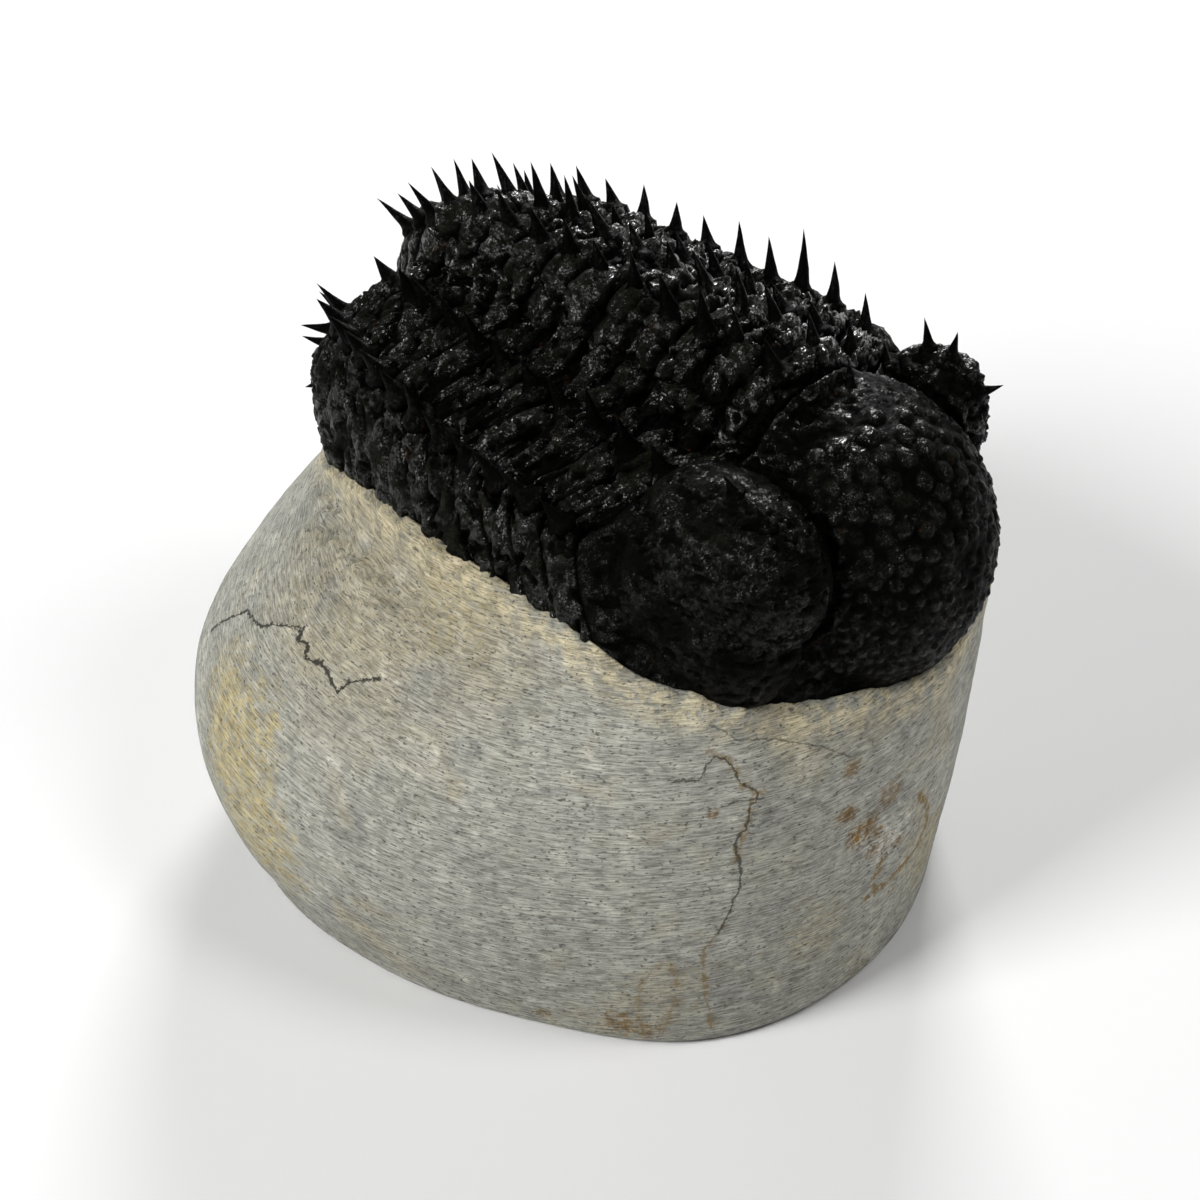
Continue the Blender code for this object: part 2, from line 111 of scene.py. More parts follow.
def blocks(points: Array, size: Triple, seed: float) -> Array:
    """Broken blocks in space: each has its own level and slope, with a crevice round it.

    Args:
        points: places, mm, one per row.
        size: about how large a block is along each axis, mm.
        seed: shift of the pattern.

    Returns:
        About -1 to 1 for each place.
    """
    height = np.zeros(len(points))
    for i, place in enumerate((points / np.array(size) + seed).tolist()):
        reach, centres = noise.voronoi(place)
        centre = centres[0]
        slope = noise.noise_vector(centre * 5.3)
        level = 1.5 * noise.noise(centre * 7.7) + 1.6 * slope.dot(Vector(place) - centre)
        crevice = max(0.0, 1.0 - (reach[1] - reach[0]) / 0.2)
        height[i] = level - 0.9 * crevice * crevice
    return height


def bark(points: Array, slant: float = 0.0) -> Array:
    """Ridges that run down a flank.

    Args:
        points: places, mm, one per row.
        slant: how far the ridges lean forwards, mm for each mm sideways.

    Returns:
        Up to 1 on the ridges.
    """
    warp = points[:, 0] - points[:, 1] * slant + 0.8 * ragged(points * (0.4, 0.4, 1.0), 3.0, 2, 14.0)
    drawn = np.stack((warp / 2.3, points[:, 1] * 0.1, points[:, 2] * 0.11), 1)
    return 1 - 3.4 * np.abs(ragged(drawn, 1.0, 2, 17.0))


def between(a: Array, b: Array, c: Array, d: Array, f: Array) -> Array:
    """Smooth curve through the second and the third of four stations.

    Args:
        a: station before the stretch.
        b: station where it starts.
        c: station where it ends.
        d: station after it.
        f: place along it, 0 to 1.

    Returns:
        The value there.
    """
    return b + f * (c - a + f * (2 * a - 5 * b + 4 * c - d + f * (3 * (b - c) + d - a))) / 2


@dataclass(frozen=True)
class Profile:
    """A measure that changes smoothly between stations, and is held past its ends."""

    stations: Pairs

    def at(self, t: Array) -> Array:
        """Value at each place.

        Args:
            t: places along the body, mm.

        Returns:
            The measure there, from monotone cubic pieces.
        """
        x, y = np.array(self.stations, float).T
        step, slope = np.diff(x), np.diff(y) / np.diff(x)
        tangent = np.concatenate(([slope[0]], np.zeros(len(x) - 2), [slope[-1]]))
        same = slope[:-1] * slope[1:] > 0
        with np.errstate(divide="ignore", invalid="ignore"):
            harmonic = 2.0 / (1.0 / slope[:-1] + 1.0 / slope[1:])
        tangent[1:-1][same] = harmonic[same]
        t = np.clip(np.asarray(t, float), x[0], x[-1])
        i = np.clip(np.searchsorted(x, t, side="right") - 1, 0, len(x) - 2)
        f = (t - x[i]) / step[i]
        return ((1 + 2 * f) * (1 - f) ** 2 * y[i] + f * f * (3 - 2 * f) * y[i + 1]
                + step[i] * (f * (1 - f) ** 2 * tangent[i] - f * f * (1 - f) * tangent[i + 1]))


class Workshop:
    """Primitives and edit steps shared by all pieces."""

    @staticmethod
    def clear() -> None:
        """Leave nothing selected."""
        if bpy.context.object and bpy.context.object.mode != "OBJECT":
            bpy.ops.object.mode_set(mode="OBJECT")
        bpy.ops.object.select_all(action="DESELECT")

    @classmethod
    def pick(cls, *objects: Piece) -> None:
        """Select only these objects.

        Args:
            *objects: the objects, the first of which becomes active.
        """
        cls.clear()
        for obj in objects:
            obj.select_set(True)
        bpy.context.view_layer.objects.active = objects[0]

    @classmethod
    def grid(cls, name: str, columns: int, rows: int) -> Piece:
        """A flat grid from -1 to 1, ready to be laid on a surface.

        Args:
            name: its name.
            columns: faces from side to side.
            rows: faces from front to rear.

        Returns:
            The grid.
        """
        cls.clear()
        bpy.ops.mesh.primitive_grid_add(x_subdivisions=columns, y_subdivisions=rows, size=2.0)
        bpy.context.object.name = name
        return bpy.context.object

    @classmethod
    def ball(cls, name: str, segments: int, rings: int) -> Piece:
        """A ball of radius 1, ready to be stretched.

        Args:
            name: its name.
            segments: faces round it.
            rings: faces from pole to pole.

        Returns:
            The ball.
        """
        cls.clear()
        bpy.ops.mesh.primitive_uv_sphere_add(segments=segments, ring_count=rings, radius=1.0)
        bpy.context.object.name = name
        return bpy.context.object

    @staticmethod
    def link(name: str, data: bpy.types.ID) -> Piece:
        """Add an object to the scene.

        Args:
            name: its name.
            data: its mesh, lamp or camera.

        Returns:
            The object.
        """
        obj = bpy.data.objects.new(name, data)
        bpy.context.collection.objects.link(obj)
        return obj

    @classmethod
    def mesh(cls, name: str, points: Array, faces: list[tuple[int, ...]]) -> Piece:
        """Add a mesh from its points and faces.

        Args:
            name: its name.
            points: places, mm.
            faces: corners of each face.

        Returns:
            The mesh's object.
        """
        data = bpy.data.meshes.new(name)
        data.from_pydata((points * MM).tolist(), [], faces)
        return cls.link(name, data)

    @classmethod
    def face_out(cls, obj: Piece) -> None:
        """Turn all faces of a closed mesh outwards.

        Args:
            obj: the mesh's object, left in object mode.
        """
        if obj.mode == "OBJECT":
            cls.pick(obj)
            bpy.ops.object.mode_set(mode="EDIT")
        bpy.ops.mesh.select_all(action="SELECT")
        bpy.ops.mesh.normals_make_consistent(inside=False)
        bpy.ops.object.mode_set(mode="OBJECT")

    @classmethod
    def join(cls, *objects: Piece) -> None:
        """Make one object of several, under the first one's name."""
        cls.pick(*objects)
        bpy.ops.object.join()

    @classmethod
    def close_below(cls, obj: Piece, bed: float, plan: Array | None = None) -> None:
        """Draw an open sheet's rim down to a flat bed and fill it.

        Args:
            obj: the sheet.
            bed: height of the bed, mm.
            plan: where each point of the sheet has its foot, mm, if not straight below it.
        """
        count = len(obj.data.vertices)
        cls.pick(obj)
        bpy.ops.object.mode_set(mode="EDIT")
        bpy.ops.mesh.select_mode(type="EDGE")
        bpy.ops.mesh.select_all(action="DESELECT")
        bpy.ops.mesh.select_non_manifold()
        bpy.ops.mesh.extrude_region_move()
        bpy.ops.transform.resize(value=(1, 1, 0), center_override=(0, 0, bed * MM))
        bpy.ops.mesh.edge_face_add()
        cls.face_out(obj)
        if plan is not None:
            points = cls.read(obj)
            for edge in obj.data.edges:
                rim, foot = sorted(edge.vertices)
                if rim < count <= foot:
                    points[foot, :2] = plan[rim] * MM
            cls.place(obj, points)

    @staticmethod
    def apply(obj: Piece, name: str) -> None:
        """Apply one modifier."""
        Workshop.pick(obj)
        bpy.ops.object.modifier_apply(modifier=name)

    @staticmethod
    def read(obj: Piece, what: str = "co") -> Array:
        """Places or normals of the mesh's points.

        Args:
            obj: the mesh's object.
            what: "co" for the places, in metres, or "normal".

        Returns:
            One point per row.
        """
        out = np.empty(len(obj.data.vertices) * 3)
        obj.data.vertices.foreach_get(what, out)
        return out.reshape(-1, 3)

    @staticmethod
    def place(obj: Piece, points: Array) -> None:
        """Move the mesh's points to these, in metres."""
        obj.data.vertices.foreach_set("co", np.ascontiguousarray(points, dtype=float).ravel())
        obj.data.update()

    @classmethod
    def lay(cls, obj: Piece, base: Array, height: Array) -> None:
        """Lay a grid on a surface and raise it from there.

        Args:
            obj: the grid.
            base: where each point lies on the surface, mm.
            height: how far it is raised along the surface's normal, mm.
        """
        cls.place(obj, base * MM)
        up = cls.read(obj, "normal")
        up *= np.sign(up[:, 2].sum())
        cls.place(obj, (base + up * height[:, None]) * MM)

    @staticmethod
    def mark(obj: Piece, name: str, values: Array) -> None:
        """Keep one number per point as an attribute that a finish can read."""
        layer = obj.data.attributes.new(name, "FLOAT", "POINT")
        layer.data.foreach_set("value", np.ascontiguousarray(values, dtype=np.float32))

    @classmethod
    def mark_relief_and_varnish(cls, obj: Piece, height: Array, varnish: Array) -> None:
        """Mark how far points stand out, which the finish turns into dust and wear on high points and
        painted shade in low ones, and how much varnish they keep.

        Args:
            obj: the piece, whose first points these are; the walls below them keep none.
            height: how far each point stands out, mm.
            varnish: share of varnish on points that stand out.
        """
        rest = np.zeros(len(obj.data.vertices) - len(height))
        cls.mark(obj, "raised", np.append(height, rest))
        cls.mark(obj, "varnish", np.append(varnish * smooth(-0.25, 0.25, height), rest))

    @classmethod
    def finish(cls, obj: Piece, nodes: tuple[str, ...], slot: Slot,
               finish: Material) -> None:
        """Smooth and dress a piece, hang it under the root, and hide the solids that it replaces.

        Args:
            obj: the piece.
            nodes: solids that it replaces.
            slot: not used.
            finish: the material.
        """
        cls.pick(obj)
        bpy.ops.object.shade_smooth()
        obj.data.materials.clear()
        obj.data.materials.append(finish)
        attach(obj, "root")
        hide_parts(*nodes)
        log.info("%s: %d faces", obj.name, len(obj.data.polygons))


# ------------------------------------------------------------------ the back's surface


@dataclass(frozen=True)
class Back:
    """The animal's back as one surface: t runs tailwards from the first ring, w across it.

    w goes from 0 at the right margin over 10 on the middle line to 20 at the left margin. The
    profiles hold, for each t, the middle line's y, height and distance from it of the fulcrum and
    of the margin, half width and rise of the ring, how much lower the left half lies, how far the
    right flank swells outwards and back, the rise of the pleurae, and how far the fulcrum and the
    margin are swept back.
    """

    front: float = 26.0
    axis: Profile = Profile(((-17, 3), (-8, 3), (-4, 3.6), (0, 5), (30, 5.3), (53.4, 6.9), (66.5, 7.8)))
    fulcrum_z: Profile = Profile((
        (-17, 44), (-16.2, 46), (-15, 49.5), (-13, 53), (-10.5, 56), (-8, 57), (-4, 58.4), (0, 60.3),
        (12, 61.2), (30, 62.4), (40, 62.8), (50, 61.8), (53.4, 60.8), (56.5, 58.8), (59.5, 55),
        (62, 50.4), (64.5, 46.6), (66.5, 44.8)))
    fulcrum_half: Profile = Profile((
        (-17, 1.5), (-16.2, 4.2), (-15, 8.6), (-13, 13), (-10.5, 17), (-8, 19.8), (-4, 23.3), (0, 25.3),
        (20, 24.5), (40, 20.8), (50, 18.3), (53.4, 16.8), (56.5, 15.0), (59.5, 12.4), (62, 9.2),
        (64.5, 5.6), (66.5, 2.2)))
    margin_half: Profile = Profile((
        (-17, 2.6), (-16.2, 6.5), (-15, 12.1), (-13, 17.5), (-10.5, 21.8), (-8, 24.9), (-4, 28.4),
        (0, 30.6), (20, 30), (40, 25.6), (50, 22), (53.4, 19.8), (56.5, 17.4), (59.5, 14.2),
        (62, 10.6), (64.5, 6.6), (66.5, 3)))
    margin_z: Profile = Profile((
        (-17, 42), (-15, 44), (-13, 45.5), (-10.5, 47), (-8, 48.5), (-4, 50), (0, 51.5), (12, 52.4),
        (24, 52), (34, 50.6), (44, 47.8), (50, 44.8), (53.4, 43), (59.5, 40.7), (66.5, 39.9)))
    ring_half: Profile = Profile((
        (-17, 0.6), (-13, 6), (-8, 8.6), (0, 9.4), (26, 8.6), (50, 6.6), (56.5, 5), (66.5, 0.8)))
    ring_rise: Profile = Profile((
        (-17, 0.3), (-8, 1.5), (-4, 8), (0, 11.8), (26, 11.4), (50, 9.2), (53.4, 8.6), (56.5, 8.8),
        (59.5, 11.2), (62, 10.4), (64.5, 5.4), (66.5, 0.6)))
    left_drop: Profile = Profile((
        (-17, 0), (-8, 1.4), (0, 3.2), (9, 1.0), (20, 2.4), (30, 1.4), (44, 0.8), (53.4, 0.4), (66.5, 0)))
    swell: Profile = Profile((
        (-17, 0), (30, 0), (44, 0.9), (50, 1.7), (56.5, 2.3), (62, 1.7), (66.5, 0.5)))
    swell_back: Profile = Profile(((-17, 0), (44, 0), (53.4, 0.3), (60, 0.7), (66.5, 1.0)))
    pleura_rise: Profile = Profile(((-17, 0.2), (-4, 3.4), (0, 4.6), (50, 3.6), (59.5, 2.4), (66.5, 0.2)))
    fulcrum_sweep: Profile = Profile((
        (-17, 0.3), (-13, 4), (-8, 7.5), (0, 10.4), (26, 8.2), (40, 6), (53.4, 2.6), (59.5, 0.9), (66.5, 0)))
    tip_sweep: Profile = Profile((
        (-17, 0.3), (-13, 1.6), (-4, 2.2), (0, 3.6), (26, 1.8), (40, 1.8), (53.4, 1.4), (59.5, 0.5),
        (66.5, 0)))
    ring_angles: tuple[float, ...] = (0, 30, 58, 84)
    pleura_steps: tuple[float, ...] = (0.10, 0.42, 0.76, 1.0)
    # out, down, forward, share of the swell
    flank_steps: Rows = ((0.38, 0.24, 0.14, 0.95), (0.72, 0.60, 0.55, 0.8),
                         (1.0, 1.0, 1.0, 0.2))
    furrow: float = 0.7
    ring_sweep: float = 0.12
    bed: float = 38.5

    def half(self, t: Array, swollen: float = 0.0) -> Array:
        """(lateral, height, sweep) of the eleven places from the middle to the margin.

        Args:
            t: places along the body, mm.
            swollen: share of the flank's swelling that is kept.

        Returns:
            Array of 11 places by len(t) by 3.
        """
        fulcrum, margin, ring = self.fulcrum_half.at(t), self.margin_half.at(t), self.ring_half.at(t)
        rise, ring_rise = self.pleura_rise.at(t), self.ring_rise.at(t)
        sweep, tip = self.fulcrum_sweep.at(t), self.tip_sweep.at(t)
        level = self.fulcrum_z.at(t)
        drop = level - self.margin_z.at(t)
        rows = []
        for angle in self.ring_angles:
            out, up = math.sin(math.radians(angle)), math.cos(math.radians(angle))
            rows.append((ring * out, level + rise + (ring_rise - rise) * up,
                         sweep * self.ring_sweep * out))
        for step in self.pleura_steps:
            sunk = self.furrow if step == self.pleura_steps[0] else 0.0
            rows.append((ring + (fulcrum - ring) * step, level + rise * (1 - step ** 1.6) - sunk,
                         sweep * (self.ring_sweep + (1 - self.ring_sweep) * step)))
        swell, swell_back = self.swell.at(t) * swollen, self.swell_back.at(t)
        for out, down, forward, share in self.flank_steps:
            rows.append((fulcrum + (margin - fulcrum) * out + swell * share, level - drop * down,
                         sweep + (tip - sweep) * forward + swell * swell_back * share))
        return np.array(rows).transpose(0, 2, 1)

    def at(self, t: Array, w: Array, swollen: float = 1.0) -> Array:
        """Points of the back, mm.

        Args:
            t: places along the body.
            w: places across it, 0 to 20.
            swollen: share of the right flank's swelling that is kept.

        Returns:
            One point per row.
        """
        t, w = np.broadcast_arrays(np.asarray(t, float), np.asarray(w, float))
        half = self.half(t)
        right = self.half(t, swollen)[::-1]
        right[:, :, 0] *= -1
        fulcrum, margin = self.fulcrum_half.at(t), self.margin_half.at(t)
        share = np.minimum(half[:, :, 0] / fulcrum, (margin - half[:, :, 0]) / (margin - fulcrum))
        half[:, :, 1] -= self.left_drop.at(t) * np.clip(share, 0, None)
        full = np.concatenate((right, half[1:]))
        i = np.clip(np.floor(w).astype(int), 0, 19)
        f = (w - i)[:, None]
        column = np.arange(len(t))
        a, b, c, d = (full[np.clip(i + k, 0, 20), column] for k in (-1, 0, 1, 2))
        place = between(a, b, c, d, f)
        return np.stack((self.front - t - place[:, 2], self.axis.at(t) + place[:, 0], place[:, 1]), 1)

    def rounded(self, t: Array, w: Array) -> Array:
        """The same points with the corner at the fulcrum worn round.

        Args:
            t: places along the body.
            w: places across it.

        Returns:
            One point per row.
        """
        spread = 0.75 * np.clip(1 - np.abs(np.abs(w - MIDDLE) - FULCRUM) / 1.6, 0, 1)
        return (self.at(t, w - spread) + 2 * self.at(t, w) + self.at(t, w + spread)) / 4

    def thorn_foot(self, t: float, across: float, side: int) -> Vector:
        """Where a thorn stands.

        Args:
            t: place along the body, mm.
            across: 0 on the middle line and 1 at the fulcrum.
            side: -1 for the right half, 1 for the left.

        Returns:
            The place, mm.
        """
        half = self.half(np.array([t]))[:, 0]
        target = across * float(self.fulcrum_half.at(np.array([t]))[0])
        i = int(np.clip(np.searchsorted(half[:8, 0], target), 1, 7))
        f = min(1.0, (target - half[i - 1, 0]) / (half[i, 0] - half[i - 1, 0]))
        return Vector(self.at(np.array([t]), np.array([MIDDLE + side * (i - 1 + f)]))[0])

    def plan(self) -> Array:
        """The margin once round, in rows of x, y and height, mm."""
        t = np.linspace(-17, 66.5, 260)
        return np.concatenate((self.at(t, np.zeros_like(t)), self.at(t[::-1], np.full_like(t, 20.0))))


# ------------------------------------------------------------------ thorns


@dataclass(frozen=True)
class Thorn:
    """One spine of the shell."""

    foot: Vector
    direction: Vector
    length: float
    size: float = 1.0
    bend: float = 0.10


@dataclass
class ThornMaker:
    """Models one thorn and copies it to its places."""

    sides: int = 10
    foot_radius: float = 1.75
    sink: float = 0.9
    clean: float = -0.6       # as low as this no dust settles
    varnish: float = 0.08
    # share of the length, share of the foot's radius
    steps: Pairs = ((0.0, 0.9), (0.06, 0.68), (0.13, 0.53), (0.22, 0.44), (0.36, 0.36), (0.5, 0.28),
                    (0.66, 0.195), (0.8, 0.12), (0.92, 0.05), (1.0, 0.004))
    shape: Array = field(init=False)
    faces: list[tuple[int, ...]] = field(init=False)

    def __post_init__(self) -> None:
        """Turn the pattern thorn: a disc drawn up and drawn in, ring by ring."""
        Workshop.clear()
        bpy.ops.mesh.primitive_circle_add(vertices=self.sides, radius=1.0, fill_type="NGON",
                                          location=(0, 0, -1.0))
        obj = bpy.context.object
        bpy.ops.object.transform_apply(location=True)
        bpy.ops.object.mode_set(mode="EDIT")
        bpy.ops.mesh.select_all(action="SELECT")
        radius, height = 1.0, -1.0
        for share, wide in self.steps:
            up = share - height
            bpy.ops.mesh.extrude_region_move(TRANSFORM_OT_translate={"value": (0, 0, up)})
            bpy.ops.transform.resize(value=(wide / radius, wide / radius, 1), center_override=(0, 0, 0))
            radius, height = wide, share
        Workshop.face_out(obj)
        self.shape = Workshop.read(obj)
        self.faces = [tuple(p.vertices) for p in obj.data.polygons]
        bpy.data.objects.remove(obj)

    def plant(self, plate: Piece, thorns: list[Thorn]) -> None:
        """Cast thorns from the pattern and join them to their plate.

        Args:
            plate: the plate.
            thorns: where they stand and how they lean.
        """
        points, faces = [], []
        for thorn in thorns:
            turn = np.array(Vector((0, 0, 1)).rotation_difference(thorn.direction).to_matrix())
            shape = self.shape.copy()
            above = np.clip(shape[:, 2], 0, None)
            shape[:, :2] *= self.foot_radius * thorn.size
            shape[:, 2] = np.where(shape[:, 2] < 0, shape[:, 2] * self.sink, shape[:, 2] * thorn.length)
            shape = shape @ turn.T
            shape[:, 0] -= thorn.bend * thorn.length * above ** 2
            uneven = np.sin(shape[:, ::-1] * 2.3 + thorn.length * 9) * (1 - above[:, None])
            shape += 0.07 * thorn.size * uneven
            base = len(points) * len(shape)
            points.append(shape + np.array(thorn.foot))
            faces += [tuple(i + base for i in face) for face in self.faces]
        spikes = Workshop.mesh("spikes", np.concatenate(points), faces)
        for name, value in (("raised", self.clean), ("varnish", self.varnish)):
            Workshop.mark(spikes, name, np.full(len(spikes.data.vertices), value))
        Workshop.join(plate, spikes)


def lean(outwards: float, backwards: float, side: int) -> Vector:
    """Direction of a thorn that leans from upright by these angles, degrees."""
    out, back = math.tan(math.radians(outwards)), math.tan(math.radians(backwards))
    return Vector((-back, side * out, 1.0)).normalized()


# ------------------------------------------------------------------ plates


@dataclass
class Thorax:
    """The eleven plates behind the head."""

    back: Back
    thorns: ThornMaker
    draws: random.Random
    count: int = 11
    length: float = 4.85
    gap: float = 0.42
    columns: int = 360
    rows: int = 36
    tuck: float = 0.17        # how far a plate runs under the one before, share of its length
    thorn_place: float = 0.6
    stout: float = 1.2        # thickness of the thorns of the right half
    # place across, length, lean outwards and backwards
    rows_of_thorns: Rows = ((0.12, 4.4, 8, 24), (0.62, 4.2, 12, 24), (1.0, 5.4, 38, 32))
    # rows with thorns of their own: length and leans, one thorn for each plate
    right_inner: tuple[Triple, ...] = (
        (4.1, 4, 14), (5.3, 2, 5), (5.5, 0, 3), (4.9, 6, 8), (5.2, 2, 2), (4.6, 8, 6),
        (4.9, 3, 4), (4.3, 6, 9), (4.7, 8, 12), (4.4, 5, 16), (4.1, 8, 24))
    right_middle: tuple[Triple, ...] = (
        (3.4, 10, 10), (5.5, 14, 2), (5.3, 6, 5), (4.5, 14, 16), (4.0, 12, 8), (3.8, 8, 16),
        (5.5, 15, 3), (4.1, 12, 14), (4.6, 18, 22), (3.7, 14, 12), (3.6, 15, 30))
    right_fulcrum: tuple[Triple, ...] = (
        (2.8, 26, 26), (4.0, 26, 36), (4.2, 24, 30), (3.4, 28, 14), (3.8, 22, 22), (4.6, 15, 6),
        (3.4, 24, 18), (3.5, 28, 20), (3.3, 26, 26), (3.5, 30, 24), (3.9, 28, 26))
    left_fulcrum: tuple[Triple, ...] = (
        (4.3, 26, 17), (4.6, 27, 16), (6.7, 28, 17), (4.8, 25, 20), (4.9, 25, 18), (3.5, 22, 24),
        (3.4, 28, 14), (3.9, 26, 17), (3.4, 18, 34), (4.1, 16, 32), (4.1, 20, 28))

    def relief(self, f: Array, w: Array, base: Array, index: int) -> Array:
        """Height of a plate over the back's surface, mm.

        Args:
            f: place along the plate, 0 at its front edge and 1 at its rear edge.
            w: place across the body.
            base: points of the surface.
            index: which plate, counted from the head.

        Returns:
            The height at each point.
        """
        s = np.abs(w - MIDDLE)
        broad, fine = ragged(base, 5.0, 2, 1.0), ragged(base, 1.7, 3, 11.0)
        crumble = 1 - 2.6 * np.abs(ragged(base, 1.5, 3, 51.0))
        edge = f + 0.1 * broad * smooth(0.0, 0.12, f) + 0.04 * fine * (f > 0.1) * (f < 0.9)
        ring = 1 - smooth(2.7, 3.6, s)
        flank = smooth(6.9, 7.9, s)
        pleura = (1 - ring) * (1 - flank)
        # furrow in front, worn here and there, and the step down to the next plate
        hidden = -1.2 * (1 - smooth(-0.1, 0.0, f))
        chipped = 0.6 + 1.1 * smooth(-0.2, 0.3, ragged(base, 3.4, 2, 61.0))
        worn = 0.3 + 0.75 * smooth(-0.2, 0.3, ragged(base, 4.2, 2, 81.0))
        dip = -((worn * ring + 0.8 * pleura * chipped + 0.3 * flank)
                * (1 - smooth(0.0, 0.16 + 0.1 * ring, edge)))
        drop = -(1.3 - 0.7 * flank - 0.5 * ring) * smooth(0.955, 1.0, f)
        # ring: arched, lumpy, with a small knob on each side
        arch = (0.4 + 0.6 * broad) * np.sin(math.pi * np.clip((edge - 0.1) / 0.88, 0, 1)) ** 0.7
        knob = 0.8 * np.exp(-((s - 1.2) / 0.5) ** 2 - ((f - 0.6) / 0.2) ** 2)
        bent = base + 0.5 * np.stack((fine, broad, fine), 1)
        lumps = 0.85 * blocks(bent, (3.2, 3.8, 3.0), 3.3) + 0.2 * fine + 0.2 * crumble
        hollow = -1.3 * chipped * np.exp(-((s - 3.7) / 0.6) ** 2 - ((f - 0.08) / 0.26) ** 2)
        # pleura: ledges and fibres along it, chips, a notch and a spur
        along = np.stack((f * self.length / 0.5 + 0.5 * broad, w * 0.62, np.full_like(f, 7.3 * index)), 1)
        fibre = ragged(along, 1.0, 2, 3.0)
        ledge = blocks(bent, (1.9, 6.4, 5.0), 7.3 * index)
        chip = -0.75 * smooth(0.3, 0.42, ragged(base * (1.0, 0.55, 1.0), 1.9, 2, 71.0))
        notch = np.exp(-((edge - 0.4 - 0.05 * (s - 5.0)) / 0.06) ** 2) * smooth(-0.1, 0.25, broad)
        spur = 0.7 * np.exp(-((s - 5.5) / 0.32) ** 2 - ((f - 0.66) / 0.2) ** 2)
        band = (0.3 + 0.35 * (edge - 0.5) + 0.7 * ledge + 0.42 * fibre + 0.06 * fine + 0.05 * crumble + chip
                - 0.7 * notch * smooth(3.9, 4.5, s) + spur)
        # flank: ridges and pits, set off by a step at the fulcrum
        pits = smooth(0.24, 0.5, ragged(base, 1.9, 2, 25.0))
        wall = 0.4 + 0.4 * bark(base) + 0.24 * ragged(base * (1, 1, 0.4), 1.2, 2, 5.0) - 0.75 * pits
        wall -= 0.4 * np.abs(2 * edge - 1.0) ** 3
        step = -0.6 * np.exp(-((s - 7.1 - 0.5 * broad) / 0.2) ** 2) * smooth(-0.1, 0.25, fine)
        parts = ring * (arch + knob + lumps) + pleura * band + flank * wall
        return hidden + dip + drop + hollow + parts + step

    def thorns_on(self, index: int, t: float) -> list[Thorn]:
        """The thorns of one plate.

        Args:
            index: which plate, counted from the head.
            t: where they stand along the body, mm.

        Returns:
            The thorns, row by row.
        """
        own = {(0.12, -1): self.right_inner, (0.62, -1): self.right_middle,
               (1.0, -1): self.right_fulcrum, (1.0, 1): self.left_fulcrum}
        thorns = []
        for across, length, outwards, backwards in self.rows_of_thorns:
            for side in (-1, 1):
                out = outwards + self.draws.uniform(-9, 9)
                back = backwards + self.draws.uniform(-10, 10)
                long = length * self.draws.uniform(0.75, 1.25)
                if (across, side) in own:
                    long, out, back = own[across, side][index]
                foot = self.back.thorn_foot(t, across, side)
                thorns.append(Thorn(foot, lean(out, back, side), long, self.stout if side < 0 else 1.0))
        return thorns

    def build(self, finish: Material) -> None:
        """Model and dress the plates from the head backwards.

        Args:
            finish: their material.
        """
        for index in range(self.count):
            first = index * self.length + self.gap / 2
            last = (index + 1) * self.length - self.gap / 2
            plate = Workshop.grid("plate_%02d" % (index + 1), self.columns, self.rows)
            flat = Workshop.read(plate)
            w = MIDDLE + MIDDLE * flat[:, 0]
            f = -self.tuck + (1.0 + self.tuck) * (flat[:, 1] + 1) / 2
            t = first - 0.1 + (last - first + 0.35) * f
            base = self.back.rounded(t, w)
            height = self.relief(f, w, base, index)
            s = np.abs(w - MIDDLE)
            Workshop.lay(plate, base, height * (1 - smooth(9.7, 10.0, s)))
            Workshop.close_below(plate, self.back.bed + 1.0, self.back.at(t, w, 0.0)[:, :2])
            Workshop.mark_relief_and_varnish(plate, height, 1.0 - 0.45 * smooth(6.9, 7.6, s))
            self.thorns.plant(plate, self.thorns_on(index, first + self.length * self.thorn_place))
            Workshop.finish(plate, ("thorax_segment_%02d" % (index + 1),), Slot.SHELL, finish)


